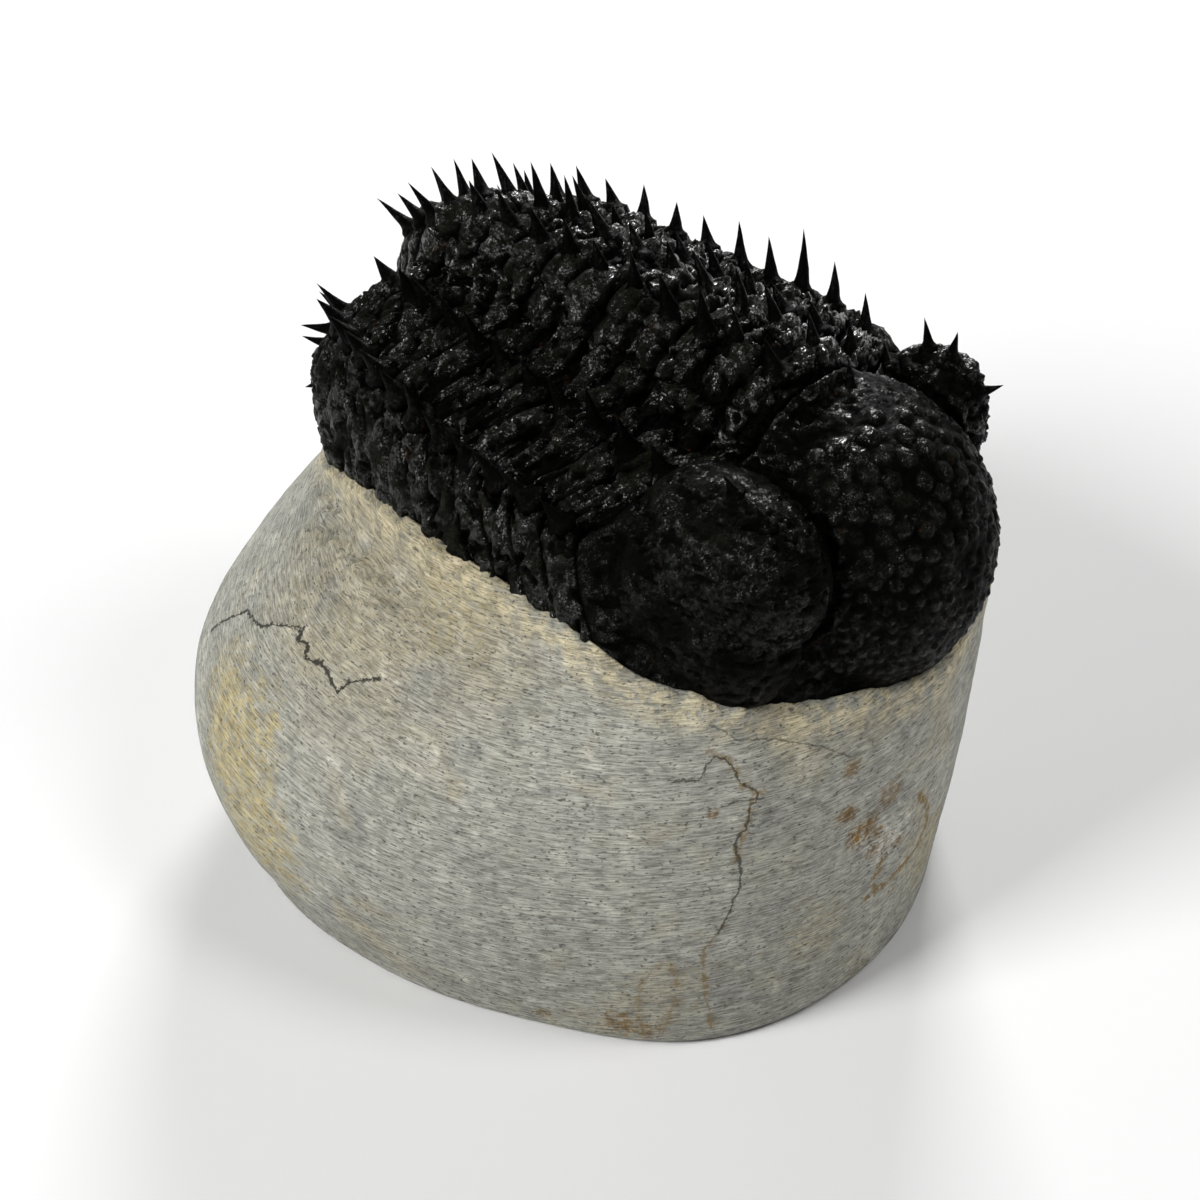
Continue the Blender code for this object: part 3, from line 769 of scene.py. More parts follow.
@dataclass
class Tail:
    """The tail shield: ribs like the plates' before it, run together and curled down."""

    back: Back
    thorns: ThornMaker
    draws: random.Random
    start: float = 53.56
    end: float = 66.5
    ribs: int = 5
    columns: int = 300
    rows: int = 70
    # place along and across, length, lean outwards and backwards, size
    rows_of_thorns: Rows = tuple(
        (53.35 + 1.5 + 2.6 * row, across, 4.2, outwards, 34 + 14 * row, 0.85)
        for row in range(3) for across, outwards in ((0.16, 16), (0.95, 25)))
    # place along and across, direction, length and size of single thorns on the right flank
    flank_thorns: tuple[tuple[float, float, Triple, float, float], ...] = (
        (56.5, 2.7, (-0.8, -0.7, 0.15), 3.6, 0.8), (58.5, 2.4, (-0.9, -0.6, 0.3), 3.0, 0.7),
        (59.0, 1.4, (-0.8, -0.6, -0.35), 1.9, 0.6))

    def relief(self, v: Array, s: Array, base: Array) -> Array:
        """Height of the shield over the back's surface, mm.

        Args:
            v: place along the shield, 0 at its front edge and 1 at its rear edge.
            s: distance across the body from the middle line.
            base: points of the surface.

        Returns:
            The height at each point.
        """
        phase = (v * self.ribs + 0.06 * ragged(base, 4.0, 2, 2.0)) % 1.0
        rib = 0.7 * np.sin(math.pi * phase) ** 0.8 - 0.55
        rib *= 1 - 0.6 * smooth(3.0, 4.0, s) * smooth(0.6, 1.0, v)
        pits = smooth(0.24, 0.5, ragged(base, 1.9, 2, 25.0))
        height = rib * (1 - 0.6 * smooth(0.75, 1.0, v)) - 1.3 * (1 - smooth(0.0, 0.07, v))
        height += smooth(6.9, 7.6, s) * (0.2 + 0.38 * bark(base, 0.5) - 0.6 * pits)
        grit = 0.3 * ragged(base * (1, 1, 0.5), 2.6, 3, 9.0) + 0.14 * ragged(base, 0.8, 2, 4.0)
        return height + grit

    def thorns_on(self) -> list[Thorn]:
        """The shield's thorns.

        Returns:
            The thorns in rows, then those on the flank.
        """
        thorns = []
        for t, across, length, outwards, backwards, size in self.rows_of_thorns:
            for side in (-1, 1):
                foot, way = self.back.thorn_foot(t, across, side), lean(outwards, backwards, side)
                thorns.append(Thorn(foot, way, length * self.draws.uniform(0.8, 1.1), size))
        for t, w, way, length, size in self.flank_thorns:
            foot = Vector(self.back.at(np.array([t]), np.array([w]))[0])
            thorns.append(Thorn(foot, Vector(way).normalized(), length, size, 0.0))
        return thorns

    def build(self, finish: Material) -> None:
        """Model and dress the shield.

        Args:
            finish: its material.
        """
        tail = Workshop.grid("tail_shield", self.columns, self.rows)
        flat = Workshop.read(tail)
        w, v = MIDDLE + MIDDLE * flat[:, 0], (flat[:, 1] + 1) / 2
        t = self.start - 0.9 + (self.end - self.start + 0.9) * v
        base, s = self.back.rounded(t, w), np.abs(w - MIDDLE)
        height = self.relief(v, s, base)
        fade = (1 - smooth(9.6, 10.0, s)) * (1 - smooth(0.97, 1.0, v))
        Workshop.lay(tail, base, height * fade)
        Workshop.close_below(tail, self.back.bed + 1.0, self.back.at(t, w, 0.0)[:, :2])
        Workshop.mark_relief_and_varnish(tail, height, 0.8 - 0.35 * smooth(6.9, 7.6, s))
        self.thorns.plant(tail, self.thorns_on())
        Workshop.finish(tail, ("pygidium",), Slot.SHELL, finish)


# ------------------------------------------------------------------ head


@dataclass(frozen=True)
class Mound:
    """An ellipsoid of the head: its middle, its radii and how far it is turned, degrees."""

    centre: Triple
    radii: Triple
    yaw: float = 0.0

    def local(self, points: Array) -> Array:
        """Points in radii from the middle, so that the surface is at length 1.

        Args:
            points: places, mm.

        Returns:
            One point per row.
        """
        turn = math.radians(self.yaw)
        p = points - np.array(self.centre)
        x = p[:, 0] * math.cos(turn) + p[:, 1] * math.sin(turn)
        y = p[:, 1] * math.cos(turn) - p[:, 0] * math.sin(turn)
        return np.stack((x, y, p[:, 2]), 1) / np.array(self.radii)

    def world(self, local: Array) -> Array:
        """Places of points that are given in radii.

        Args:
            local: points in radii from the middle.

        Returns:
            One point per row, mm.
        """
        turn = math.radians(self.yaw)
        p = local * np.array(self.radii)
        x = p[:, 0] * math.cos(turn) - p[:, 1] * math.sin(turn)
        y = p[:, 0] * math.sin(turn) + p[:, 1] * math.cos(turn)
        return np.stack((x, y, p[:, 2]), 1) + np.array(self.centre)

    def reach(self, points: Array) -> Array:
        """How far points are from the middle, in radii."""
        return np.linalg.norm(self.local(points), axis=1)


@dataclass
class Head:
    """The head shield with its warty ball, both eyes and the cheeks."""

    back: Back
    thorns: ThornMaker
    draws: random.Random
    ball: Mound = Mound((28.7, 5.0, 52.5), (17.5, 17.6, 17.6))
    right_eye: Mound = Mound((28.6, -12.0, 59.2), (12.4, 8.5, 9.5), -8)
    left_eye: Mound = Mound((28.6, 21.6, 59.6), (6.2, 4.9, 8.0), 10)
    # swellings that lead from the cheek up to the right eye
    skirts: tuple[Mound, ...] = (
        Mound((23.5, -13.5, 54.0), (11.5, 9.0, 10.5), -20),
        Mound((27.0, -14.0, 52.0), (12.0, 8.5, 9.5), -8),
        Mound((19.5, -11.5, 57.5), (8.5, 8.0, 7.0), -35))
    voxel: float = 0.3
    floor: float = 40.5
    glossy: Triple = (28.0, -0.5, 69.5)
    lens_pitch: float = 0.95
    wart_spacing: tuple[float, float] = (2.25, 1.1)    # where they are largest, and at the rim
    wart_radius: float = 0.545                         # share of the spacing
    wart_height: float = 0.2024                        # share of the spacing
    wart_summit: Triple = (0.5, -0.03, 0.86)           # direction of the largest ones
    # for the right and the left eye: place along the lid, length, lean outwards and backwards
    eye_thorns: tuple[Rows, Rows] = (
        ((0.1, 2.6, 20, 10), (0.48, 2.4, 20, 10), (0.7, 2.2, 20, 10)),
        ((-0.2, 3.0, 12, 18), (0.25, 3.0, 6, -12), (0.84, 3.0, 40, -62)))
    eye_thorn_size: float = 0.7
    # place along and across, length, lean outwards and backwards, size
    neck_thorns: Rows = ((-2.4, 0.14, 4.6, 10, 10, 1.0), (-1.6, 0.8, 3.6, 14, 16, 0.9))

    def rough_form(self) -> Piece:
        """Cheeks, ball and eyes as one even skin of small faces.

        Returns:
            The head before any relief.
        """
        head = Workshop.grid("head_shield", 150, 44)
        flat = Workshop.read(head)
        t = -16.95 + 16.75 * (flat[:, 1] + 1) / 2
        Workshop.place(head, self.back.at(t, MIDDLE + MIDDLE * flat[:, 0]) * MM)
        Workshop.close_below(head, self.floor)
        forms = []
        for mound in (self.ball, self.right_eye, self.left_eye, *self.skirts):
            form = Workshop.ball("form", 64, 40)
            points = mound.world(Workshop.read(form))
            points[:, 2] = np.maximum(points[:, 2], self.floor + 0.7)
            Workshop.place(form, points * MM)
            forms.append(form)
        Workshop.join(head, *forms)
        self.cut_rear(head)
        remesh = head.modifiers.new("skin", "REMESH")
        remesh.mode = "VOXEL"
        remesh.voxel_size = self.voxel * MM
        Workshop.apply(head, "skin")
        soften = head.modifiers.new("soften", "SMOOTH")
        soften.factor = 0.5
        soften.iterations = 5
        Workshop.apply(head, "soften")
        return head

    def rear_line(self) -> Array:
        """The first plate's front edge from right to left, mm."""
        return self.back.at(np.full(81, -0.25), np.linspace(0, 20, 81))

    def cut_rear(self, head: Piece) -> None:
        """Take off what reaches behind the head, along the first plate's front edge.

        Args:
            head: the head, from which it is cut.
        """
        line = self.rear_line()[:, :2]
        plan = np.concatenate(([[line[0, 0] - 3, line[0, 1] - 9]], line,
                               [[line[-1, 0] - 3, line[-1, 1] + 9], [-20, 45], [-20, -35]]))
        count = len(plan)
        points = np.array([(x, y, z) for z in (30, 90) for x, y in plan])
        sides = [(i, (i + 1) % count, (i + 1) % count + count, i + count) for i in range(count)]
        ends = [tuple(range(count))[::-1], tuple(range(count, 2 * count))]
        rear = Workshop.mesh("rear", points, sides + ends)
        Workshop.face_out(rear)
        cut = head.modifiers.new("rear", "BOOLEAN")
        cut.operation, cut.object, cut.use_self = "DIFFERENCE", rear, True
        Workshop.apply(head, "rear")
        bpy.data.objects.remove(rear)

    def wart_spots(self) -> tuple[Array, Array]:
        """Choose where the ball's warts stand.

        Returns:
            Directions from the ball's middle, and the spacing of each, mm.
        """
        draws = random.Random(31)
        summit = np.array(self.wart_summit) / np.linalg.norm(self.wart_summit)
        spots, spacings = np.zeros((0, 3)), np.zeros(0)
        for _ in range(16000):
            v = np.array([draws.gauss(0, 1) for _ in range(3)])
            v /= np.linalg.norm(v)
            if v[2] < -0.62 or v[0] < -0.28:
                continue
            away = math.degrees(math.acos(float(np.clip(v @ summit, -1, 1))))
            wide, fine = self.wart_spacing
            spacing = wide + (fine - wide) * min(1.0, max(0.0, (away - 20) / 42))
            if len(spots):
                near = np.linalg.norm(spots - v, axis=1) * self.ball.radii[0]
                if (near < 0.5 * (spacing + spacings)).any():
                    continue
            spots = np.vstack((spots, v))
            spacings = np.append(spacings, spacing)
        return spots, spacings

    def warts(self, points: Array) -> Array:
        """Warts of the ball, grit on its rear side and streaks low on its front.

        Args:
            points: places, mm.

        Returns:
            The height at each, mm.
        """
        spots, spacings = self.wart_spots()
        tree = KDTree(len(spots))
        for i, spot in enumerate(spots):
            tree.insert(spot, i)
        tree.balance()
        local, reach = self.ball.local(points), self.ball.reach(points)
        on_ball = smooth(0.94, 0.985, reach) * (1 - smooth(1.03, 1.06, reach))
        height = np.zeros(len(points))
        for i in np.nonzero(on_ball > 0.01)[0]:
            way = Vector(local[i]).normalized()
            best = 0.0
            for spot, k, distance in tree.find_n(way, 2):
                radius = spacings[k] * self.wart_radius
                d = distance * self.ball.radii[0] / radius
                if d < 1:
                    lift = (1 - d ** 4) * (1.0 + 0.5 * (spot.z - way.z) * self.ball.radii[0] / radius)
                    best = max(best, lift * spacings[k] * self.wart_height)
            height[i] = best
        front = smooth(0.02, 0.3, local[:, 0] - 0.25 * local[:, 1])
        grit = 0.2 * ragged(points, 1.3, 2, 12.0) + 0.24 * ragged(points, 0.7, 2, 13.0)
        turn = np.arctan2(local[:, 1], local[:, 0]) * self.ball.radii[0]
        streak = ragged(np.stack((turn / 4.5, points[:, 2] / 0.55, 0 * turn), 1), 1.0, 2, 31.0)
        low = smooth(0.15, 0.5, -local[:, 2])
        height = height * front * (1 - 0.6 * low)
        return (height + grit * (1 - 0.7 * front) + 0.2 * streak * low) * on_ball

    def lens_field(self, points: Array, eye: Mound, side: int) -> Array:
        """Rows of lenses, the lid's rim and the groove under them on one eye.

        Args:
            points: places, mm.
            eye: the eye.
            side: -1 for the right one, 1 for the left one.

        Returns:
            The height at each place, mm.
        """
        local, reach = eye.local(points), eye.reach(points)
        on_eye = smooth(0.9, 0.98, reach) * (1 - smooth(1.05, 1.1, reach))
        outward = local[:, 1] * side
        level = local[:, 2] / np.maximum(reach, 1e-6)
        facing = smooth(-0.1, 0.25, outward) * on_eye
        bend = np.arctan2(outward, local[:, 0]) * 0.5 * (eye.radii[0] + eye.radii[1])
        high = np.arcsin(np.clip(level, -1, 1)) * eye.radii[2]
        row_pitch = self.lens_pitch * 0.87
        row = np.round(high / row_pitch)
        column = bend / self.lens_pitch + 0.5 * (row % 2)
        d = np.hypot((column - np.round(column)) * self.lens_pitch, high - row * row_pitch)
        lens = np.clip(1 - (d / (0.5 * self.lens_pitch)) ** 2, 0, None) * 0.26
        mesh = facing * smooth(-0.5, -0.3, level) * (1 - smooth(0.42, 0.6, level))
        groove = -0.6 * np.exp(-((level + 0.6) / 0.05) ** 2) * facing
        brow = 0.35 * np.exp(-((level - 0.7) / 0.1) ** 2) * facing
        crumbs = 0.16 * ragged(points, 1.2, 2, 41.0) + 0.1 * ragged(points, 0.6, 2, 43.0)
        crumbs *= on_eye * (1.0 if side < 0 else 2.6)
        return lens * mesh + groove + brow + crumbs

    def seams(self, points: Array) -> Array:
        """Grooves where the ball and the eyes meet the cheeks and each other.

        Args:
            points: places, mm.

        Returns:
            The height at each, mm.
        """
        off = [(form.reach(points) - 1) * min(form.radii)
               for form in (self.ball, self.right_eye, self.left_eye)]
        depth = np.zeros(len(points))
        frayed = 0.8 * ragged(points, 1.6, 3, 71.0)
        for eye in off[1:]:
            near = np.maximum(np.abs(off[0]), np.abs(eye)) + frayed
            depth = np.maximum(depth, 1 - smooth(0.2, 1.3, near))
        ring = 1 - smooth(0.15, 0.7, np.abs(off[0] - 0.35))
        cheek = np.minimum(off[1], off[2]) > 0.8
        return -0.8 * depth - 0.2 * ring * cheek

    def relief(self, points: Array) -> Array:
        """Height of all fine forms over the skin.

        Args:
            points: places on the skin, mm.

        Returns:
            The height at each, mm.
        """
        right, left = self.lens_field(points, self.right_eye, -1), self.lens_field(points, self.left_eye, 1)
        height = self.warts(points) + (right + left)
        height += 0.22 * ragged(points, 4.2, 3, 2.0) + 0.1 * ragged(points, 0.9, 2, 6.0)
        dents = smooth(0.2, 0.5, ragged(points * (0.45, 0.45, 1.0), 0.8, 2, 81.0))
        height -= 0.32 * (self.ball.reach(points) > 1.04) * dents
        return height + self.seams(points)

    def thorns_on(self) -> list[Thorn]:
        """The thorns of the eyelids and of the ring behind the ball.

        Returns:
            The thorns.
        """
        thorns = []
        for eye, side, row in zip((self.right_eye, self.left_eye), (-1, 1), self.eye_thorns):
            for along, length, outwards, backwards in row:
                spot = np.array([[along, side * 0.1, math.sqrt(1 - along ** 2 - 0.01)]])
                foot, way = Vector(eye.world(spot)[0]), lean(outwards, backwards, side)
                thorns.append(Thorn(foot, way, length, self.eye_thorn_size))
        for t, across, length, outwards, backwards, size in self.neck_thorns:
            for side in (-1, 1):
                foot, way = self.back.thorn_foot(t, across, side), lean(outwards, backwards, side)
                thorns.append(Thorn(foot, way, length * self.draws.uniform(0.9, 1.05), size))
        return thorns

    def build(self, finish: Material) -> None:
        """Model and dress the head.

        Args:
            finish: its material.
        """
        head = self.rough_form()
        points = Workshop.read(head) / MM
        up = Workshop.read(head, "normal")
        rear = self.rear_line()
        ahead = points[:, 0] - np.interp(points[:, 1], rear[:, 1], rear[:, 0])
        seen = smooth(self.floor + 1.0, self.floor + 4.0, points[:, 2]) * smooth(0.1, 1.5, ahead)
        height = self.relief(points) * seen
        Workshop.place(head, (points + up * height[:, None]) * MM)
        lobes = 1 - smooth(3.0, 9.0, np.linalg.norm(points - np.array(self.glossy), axis=1))
        varnish = 0.3 + 0.8 * lobes + 0.5 * smooth(14.0, 18.0, points[:, 1])
        Workshop.mark_relief_and_varnish(head, height, varnish + 0.25 * smooth(62.0, 68.0, points[:, 2]))
        self.thorns.plant(head, self.thorns_on())
        Workshop.finish(head, ("cephalon",), Slot.SHELL, finish)


# ------------------------------------------------------------------ rock


@dataclass(frozen=True)
class Line:
    """A crack in the rock, or a stain's edge: its path, mm, half width, strength and kind."""

    name: str
    path: tuple[Triple, ...]
    width: float
    strength: float
    stain: bool = False


ROCK_LINES: tuple[Line, ...] = (
    Line("long_crack", (
        (-32.1, -30.5, 28.0), (-26.3, -30.6, 33.7), (-21.9, -32.6, 34.9), (-19.3, -32.5, 36.6),
        (-15.5, -32.2, 38.2), (-14.7, -33.6, 37.4), (-13.4, -33.4, 37.8), (-12.3, -34.7, 37.0),
        (-9.9, -34.5, 37.5), (-7.7, -35.1, 37.1), (-6.1, -35.7, 36.5), (-5.2, -34.8, 37.7),
        (-2.4, -33.5, 39.0)), 0.26, 0.95),
    Line("hair_crack", (
        (33.1, -24.4, 39.7), (34.4, -22.8, 39.8), (34.5, -22.2, 41.3), (35.0, -21.3, 42.3),
        (35.9, -20.4, 41.6), (36.7, -19.9, 40.0), (37.3, -19.7, 38.8), (38.4, -18.4, 37.5),
        (38.5, -18.5, 36.6), (38.2, -19.3, 35.8), (38.1, -19.6, 32.9), (37.5, -20.5, 32.0),
        (37.5, -20.5, 29.9), (37.9, -20.0, 27.5), (37.8, -20.1, 24.9), (37.1, -20.9, 21.2),
        (36.5, -21.5, 18.9)), 0.18, 0.78),
    Line("hair_branch", ((36.8, -21.1, 36.5), (37.5, -20.1, 36.9), (38.5, -18.5, 36.6)), 0.14, 0.7),
    Line("faint_crack", (
        (34.7, -21.0, 45.9), (36.2, -19.4, 44.0), (37.4, -17.5, 43.4), (39.3, -14.4, 42.1),
        (41.0, -11.1, 40.3), (42.3, -8.3, 38.1)), 0.13, 0.55),
    Line("rust_ring", (
        (43.1, 4.3, 24.3), (42.5, 6.8, 20.5), (42.2, 7.1, 18.0), (42.2, 6.4, 16.0), (42.3, 4.9, 15.3),
        (42.7, 1.8, 14.8), (42.7, -3.0, 14.8), (42.8, -3.0, 16.9), (43.1, -2.0, 19.4)), 0.75, 1.0, True),
    Line("stain_loop", (
        (29.9, -26.0, 1.6), (30.0, -27.1, 6.1), (30.5, -27.5, 10.6), (31.7, -26.8, 13.4),
        (33.0, -25.7, 15.0), (33.5, -24.9, 12.1), (33.1, -24.7, 7.9), (31.9, -24.9, 3.3)), 0.5, 0.45, True),
    Line("stain_run", ((36.5, -21.5, 18.9), (35.3, -22.9, 16.0), (35.1, -22.2, 8.9), (35.0, -21.0, 3.3)),
         0.34, 0.7, True),
    Line("crack_stain", (
        (35.0, -21.3, 42.3), (35.9, -20.4, 41.6), (36.7, -19.9, 40.0), (37.3, -19.7, 38.8),
        (38.4, -18.4, 37.5), (38.2, -19.3, 35.8), (38.1, -19.6, 32.9), (37.5, -20.5, 29.9)), 0.6, 0.7, True),
)


@dataclass
class Rock:
    """The ground lump: level foot, full belly, and a shoulder that flares up to the animal."""

    back: Back
    ball: Mound
    foot_edge: float = 2.4
    foot_bevel: float = 1.2
    belly: float = 22.0
    shoulder: float = 37.0
    flare: float = 1.6
    contact: float = 43.5     # height at which the head's ball goes into the rock
    lip_width: float = 1.7
    lip_rise: float = 0.7
    lip_slope: float = 1.5
    around: int = 400
    # first ring of the foot, its edge, the side, the shoulder, the lip, its inner wall, the bed
    stages: tuple[int, ...] = (0, 10, 15, 88, 128, 134, 140)
    rings: int = 150
    # degrees from +X towards +Y, radius at the foot, the belly and the shoulder
    sections: Rows = (
        (0, 41.5, 43.4, 43.8), (30, 39.9, 42.4, 43.6), (60, 39.5, 41.7, 43.6), (90, 38.0, 41.6, 41.8),
        (120, 38.0, 41.4, 40.5), (150, 39.5, 43.2, 42.1), (180, 40.2, 44.2, 39.7), (210, 41.2, 46.8, 36.2),
        (240, 40.9, 45.3, 36.8), (270, 38.0, 41.6, 35.5), (300, 37.6, 40.7, 38.0), (330, 41.5, 42.9, 42.5))
    pitted: Triple = (43.0, -2.0, 21.5)
    worn_lip: float = 6.0     # how much lower the lip is beyond the ball

    def radius(self, angle: Array, column: int) -> Array:
        """Radius in each direction at one of the levels of the sections.

        Args:
            angle: directions, radians.
            column: 1 for the foot, 2 for the belly, 3 for the shoulder.

        Returns:
            The radii, mm.
        """
        count = len(self.sections)
        place = (np.degrees(angle) % 360) / (360 / count)
        i = np.floor(place).astype(int)
        f = place - i
        values = np.array([row[column] for row in self.sections])
        a, b, c, d = (values[(i + k) % count] for k in (-1, 0, 1, 2))
        return between(a, b, c, d, f)

    def side(self, angle: Array, z: float | Array) -> Array:
        """Radius of the side, a parabola through foot, belly and shoulder.

        Args:
            angle: directions, radians.
            z: height, mm, one or one for each direction.

        Returns:
            The radii, mm.
        """
        levels = (self.foot_edge, self.belly, self.shoulder)
        total = np.zeros_like(angle)
        for i, level in enumerate(levels):
            weight = 1.0
            for other in levels[:i] + levels[i + 1:]:
                weight *= (z - other) / (level - other)
            total += weight * self.radius(angle, i + 1)
        return total

    def rim(self, angle: Array) -> tuple[Array, Array]:
        """Where the animal's margin passes.

        Args:
            angle: directions, radians.

        Returns:
            Its radius and its height in each direction, mm.
        """
        plan = self.back.plan()
        bearing = np.unwrap(np.arctan2(plan[:, 1], plan[:, 0]))
        order = np.argsort(bearing)
        bearing, reach, high = bearing[order], np.hypot(plan[order, 0], plan[order, 1]), plan[order, 2]
        turn = np.concatenate((bearing - math.tau, bearing, bearing + math.tau))
        reach, high = (np.interp(angle, turn, np.tile(values, 3)) for values in (reach, high))
        x, y, z = self.ball.centre
        wide = math.sqrt(self.ball.radii[0] ** 2 - (z - self.contact) ** 2)
        along = x * np.cos(angle) + y * np.sin(angle)
        inside = wide ** 2 - (x * x + y * y - along ** 2)
        bulge = np.where(inside > 0, along + np.sqrt(np.clip(inside, 0, None)), 0)
        return np.maximum(reach, bulge - 0.9), high

    def lip(self, angle: Array) -> tuple[Array, Array]:
        """The torn lip round the animal, worn lower beyond the ball.

        Args:
            angle: directions, radians.

        Returns:
            Its radius and its height, mm.
        """
        rim, rim_z = self.rim(angle)
        spot = np.stack((np.cos(angle), np.sin(angle), np.zeros_like(angle)), 1)
        torn = ragged(spot * 40 + np.array((0, 0, 7.0)), 4.0, 3, 3.0)
        turned = np.degrees(angle)
        worn = self.worn_lip * smooth(24.0, 40.0, turned) * (1 - smooth(60.0, 92.0, turned))
        return rim + 1.3 + 0.5 * torn, np.maximum(rim_z + 0.15 + 0.5 * torn - worn, 42.0)

    def section(self, angle: Array, ring: Array, lip: Array,
                lip_z: Array) -> tuple[Array, Array]:
        """The outline from the middle of the foot up the side and down into the bed.

        Args:
            angle: direction of each point, radians.
            ring: number of its ring, from the foot's middle.
            lip: radius of the lip in that direction, mm.
            lip_z: height of the lip, mm.

        Returns:
            Radius and height of each point, mm.
        """
        first, last = np.array(self.stages), np.array((*self.stages[1:], self.rings))
        stage = np.searchsorted(first, ring, side="right") - 1
        f = (ring - first[stage]) / (last - first)[stage]
        turn, none = f * math.pi / 2, np.zeros_like(f)
        edge, shoulder = self.side(angle, self.foot_edge), self.side(angle, self.shoulder)
        side_z = self.foot_edge + (self.shoulder - self.foot_edge) * f
        inner, top = lip - self.lip_width, lip_z + self.lip_rise
        radius = np.choose(stage, (
            (edge - self.foot_bevel) * f,
            edge - self.foot_bevel * (1 - np.sin(turn)),
            self.side(angle, side_z),
            lip + (shoulder - lip) * (1 - f) ** self.flare,
            lip - self.lip_width * f,
            inner - self.lip_slope * f,
            (lip - (self.lip_width + self.lip_slope)) * (1 - f)))
        z = np.choose(stage, (
            none,
            self.foot_edge * (1 - np.cos(turn)),
            side_z,
            self.shoulder + (lip_z - self.shoulder) * f,
            lip_z + self.lip_rise * np.sin(turn),
            top - (top - self.back.bed) * f,
            none + self.back.bed))
        return radius, z

    def relief(self, points: Array, angle: Array, ring: Array) -> Array:
        """Waves of the ground side, pits and the band scooped out of the right shoulder.

        Args:
            points: places, mm.
            angle: their directions, radians.
            ring: numbers of their rings.

        Returns:
            The height at each, mm.
        """
        waves = 0.28 * ragged(points, 14.0, 3, 1.0)
        waves += 0.05 * ragged(points * (0.4, 0.4, 1.6), 2.0, 2, 5.0)
        near = np.linalg.norm(points - np.array(self.pitted), axis=1)
        pits = np.clip(ragged(points, 1.5, 2, 8.0), 0, None)
        low, high = self.stages[3:5]
        up, bearing = np.clip((ring - low) / (high - low), 0, 1), np.degrees(angle) % 360
        scooped = smooth(190, 220, bearing) - smooth(288, 312, bearing)
        scooped *= np.exp(-((up - 0.58) / 0.2) ** 2)
        flaked = blocks(points + ragged(points, 5.0, 2, 4.0)[:, None], (7.0, 7.0, 4.5), 5.0)
        return waves - 1.1 * pits * (1 - smooth(2.5, 6.0, near)) - scooped * (1.5 + 0.8 * flaked)

    def build(self, finish: Material) -> None:
        """Model and dress the lump.

        Args:
            finish: its material.
        """
        rock = Workshop.ball("limestone_lump", self.around, self.rings)
        unit = Workshop.read(rock)
        angle = np.arctan2(unit[:, 1], unit[:, 0])
        polar = np.arccos(np.clip(unit[:, 2], -1, 1)) / math.pi
        ring = np.round((1 - polar) * self.rings).astype(int)
        lip, lip_z = self.lip(angle)
        radius, z = self.section(angle, ring, lip, lip_z)
        points = np.stack((radius * np.cos(angle), radius * np.sin(angle), z), 1)
        out = np.stack((np.cos(angle), np.sin(angle), 0.3 * np.ones_like(angle)), 1)
        skin = smooth(0.8, 5.0, z) * (ring <= self.stages[4])
        points += out * (self.relief(points, angle, ring) * skin)[:, None]
        Workshop.place(rock, points * MM)
        for line in ROCK_LINES:
            across, reach = self.beside(points, np.array(line.path))
            Workshop.mark(rock, line.name + "_across", across)
            Workshop.mark(rock, line.name + "_reach", reach)
        Workshop.mark(rock, "rim", 1 - smooth(0.3, 6.0, np.hypot(radius - lip, z - lip_z)))
        Workshop.finish(rock, ("matrix_rock",), Slot.STONE, finish)

    @staticmethod
    def beside(points: Array, path: Array) -> tuple[Array, Array]:
        """How far points lie beside a path on the rock, and how far from it.

        Args:
            points: places on the rock, mm.
            path: corners of the path, mm.

        Returns:
            The signed distance from the line of the nearest stretch, and the plain distance.
        """
        best = np.full(len(points), 1e9)
        across = np.zeros(len(points))
        outward = points * np.array((1, 1, 0.2))
        outward /= np.linalg.norm(outward, axis=1, keepdims=True) + 1e-9
        for a, b in zip(path, path[1:]):
            line = b - a
            f = np.clip(((points - a) @ line) / (line @ line), 0, 1)
            distance = np.linalg.norm(points - a - f[:, None] * line, axis=1)
            beside = np.cross(outward, line / np.linalg.norm(line))
            signed = ((points - a) * beside).sum(1)
            closer = distance < best
            best[closer], across[closer] = distance[closer], signed[closer]
        return across, best


# ------------------------------------------------------------------ finishes


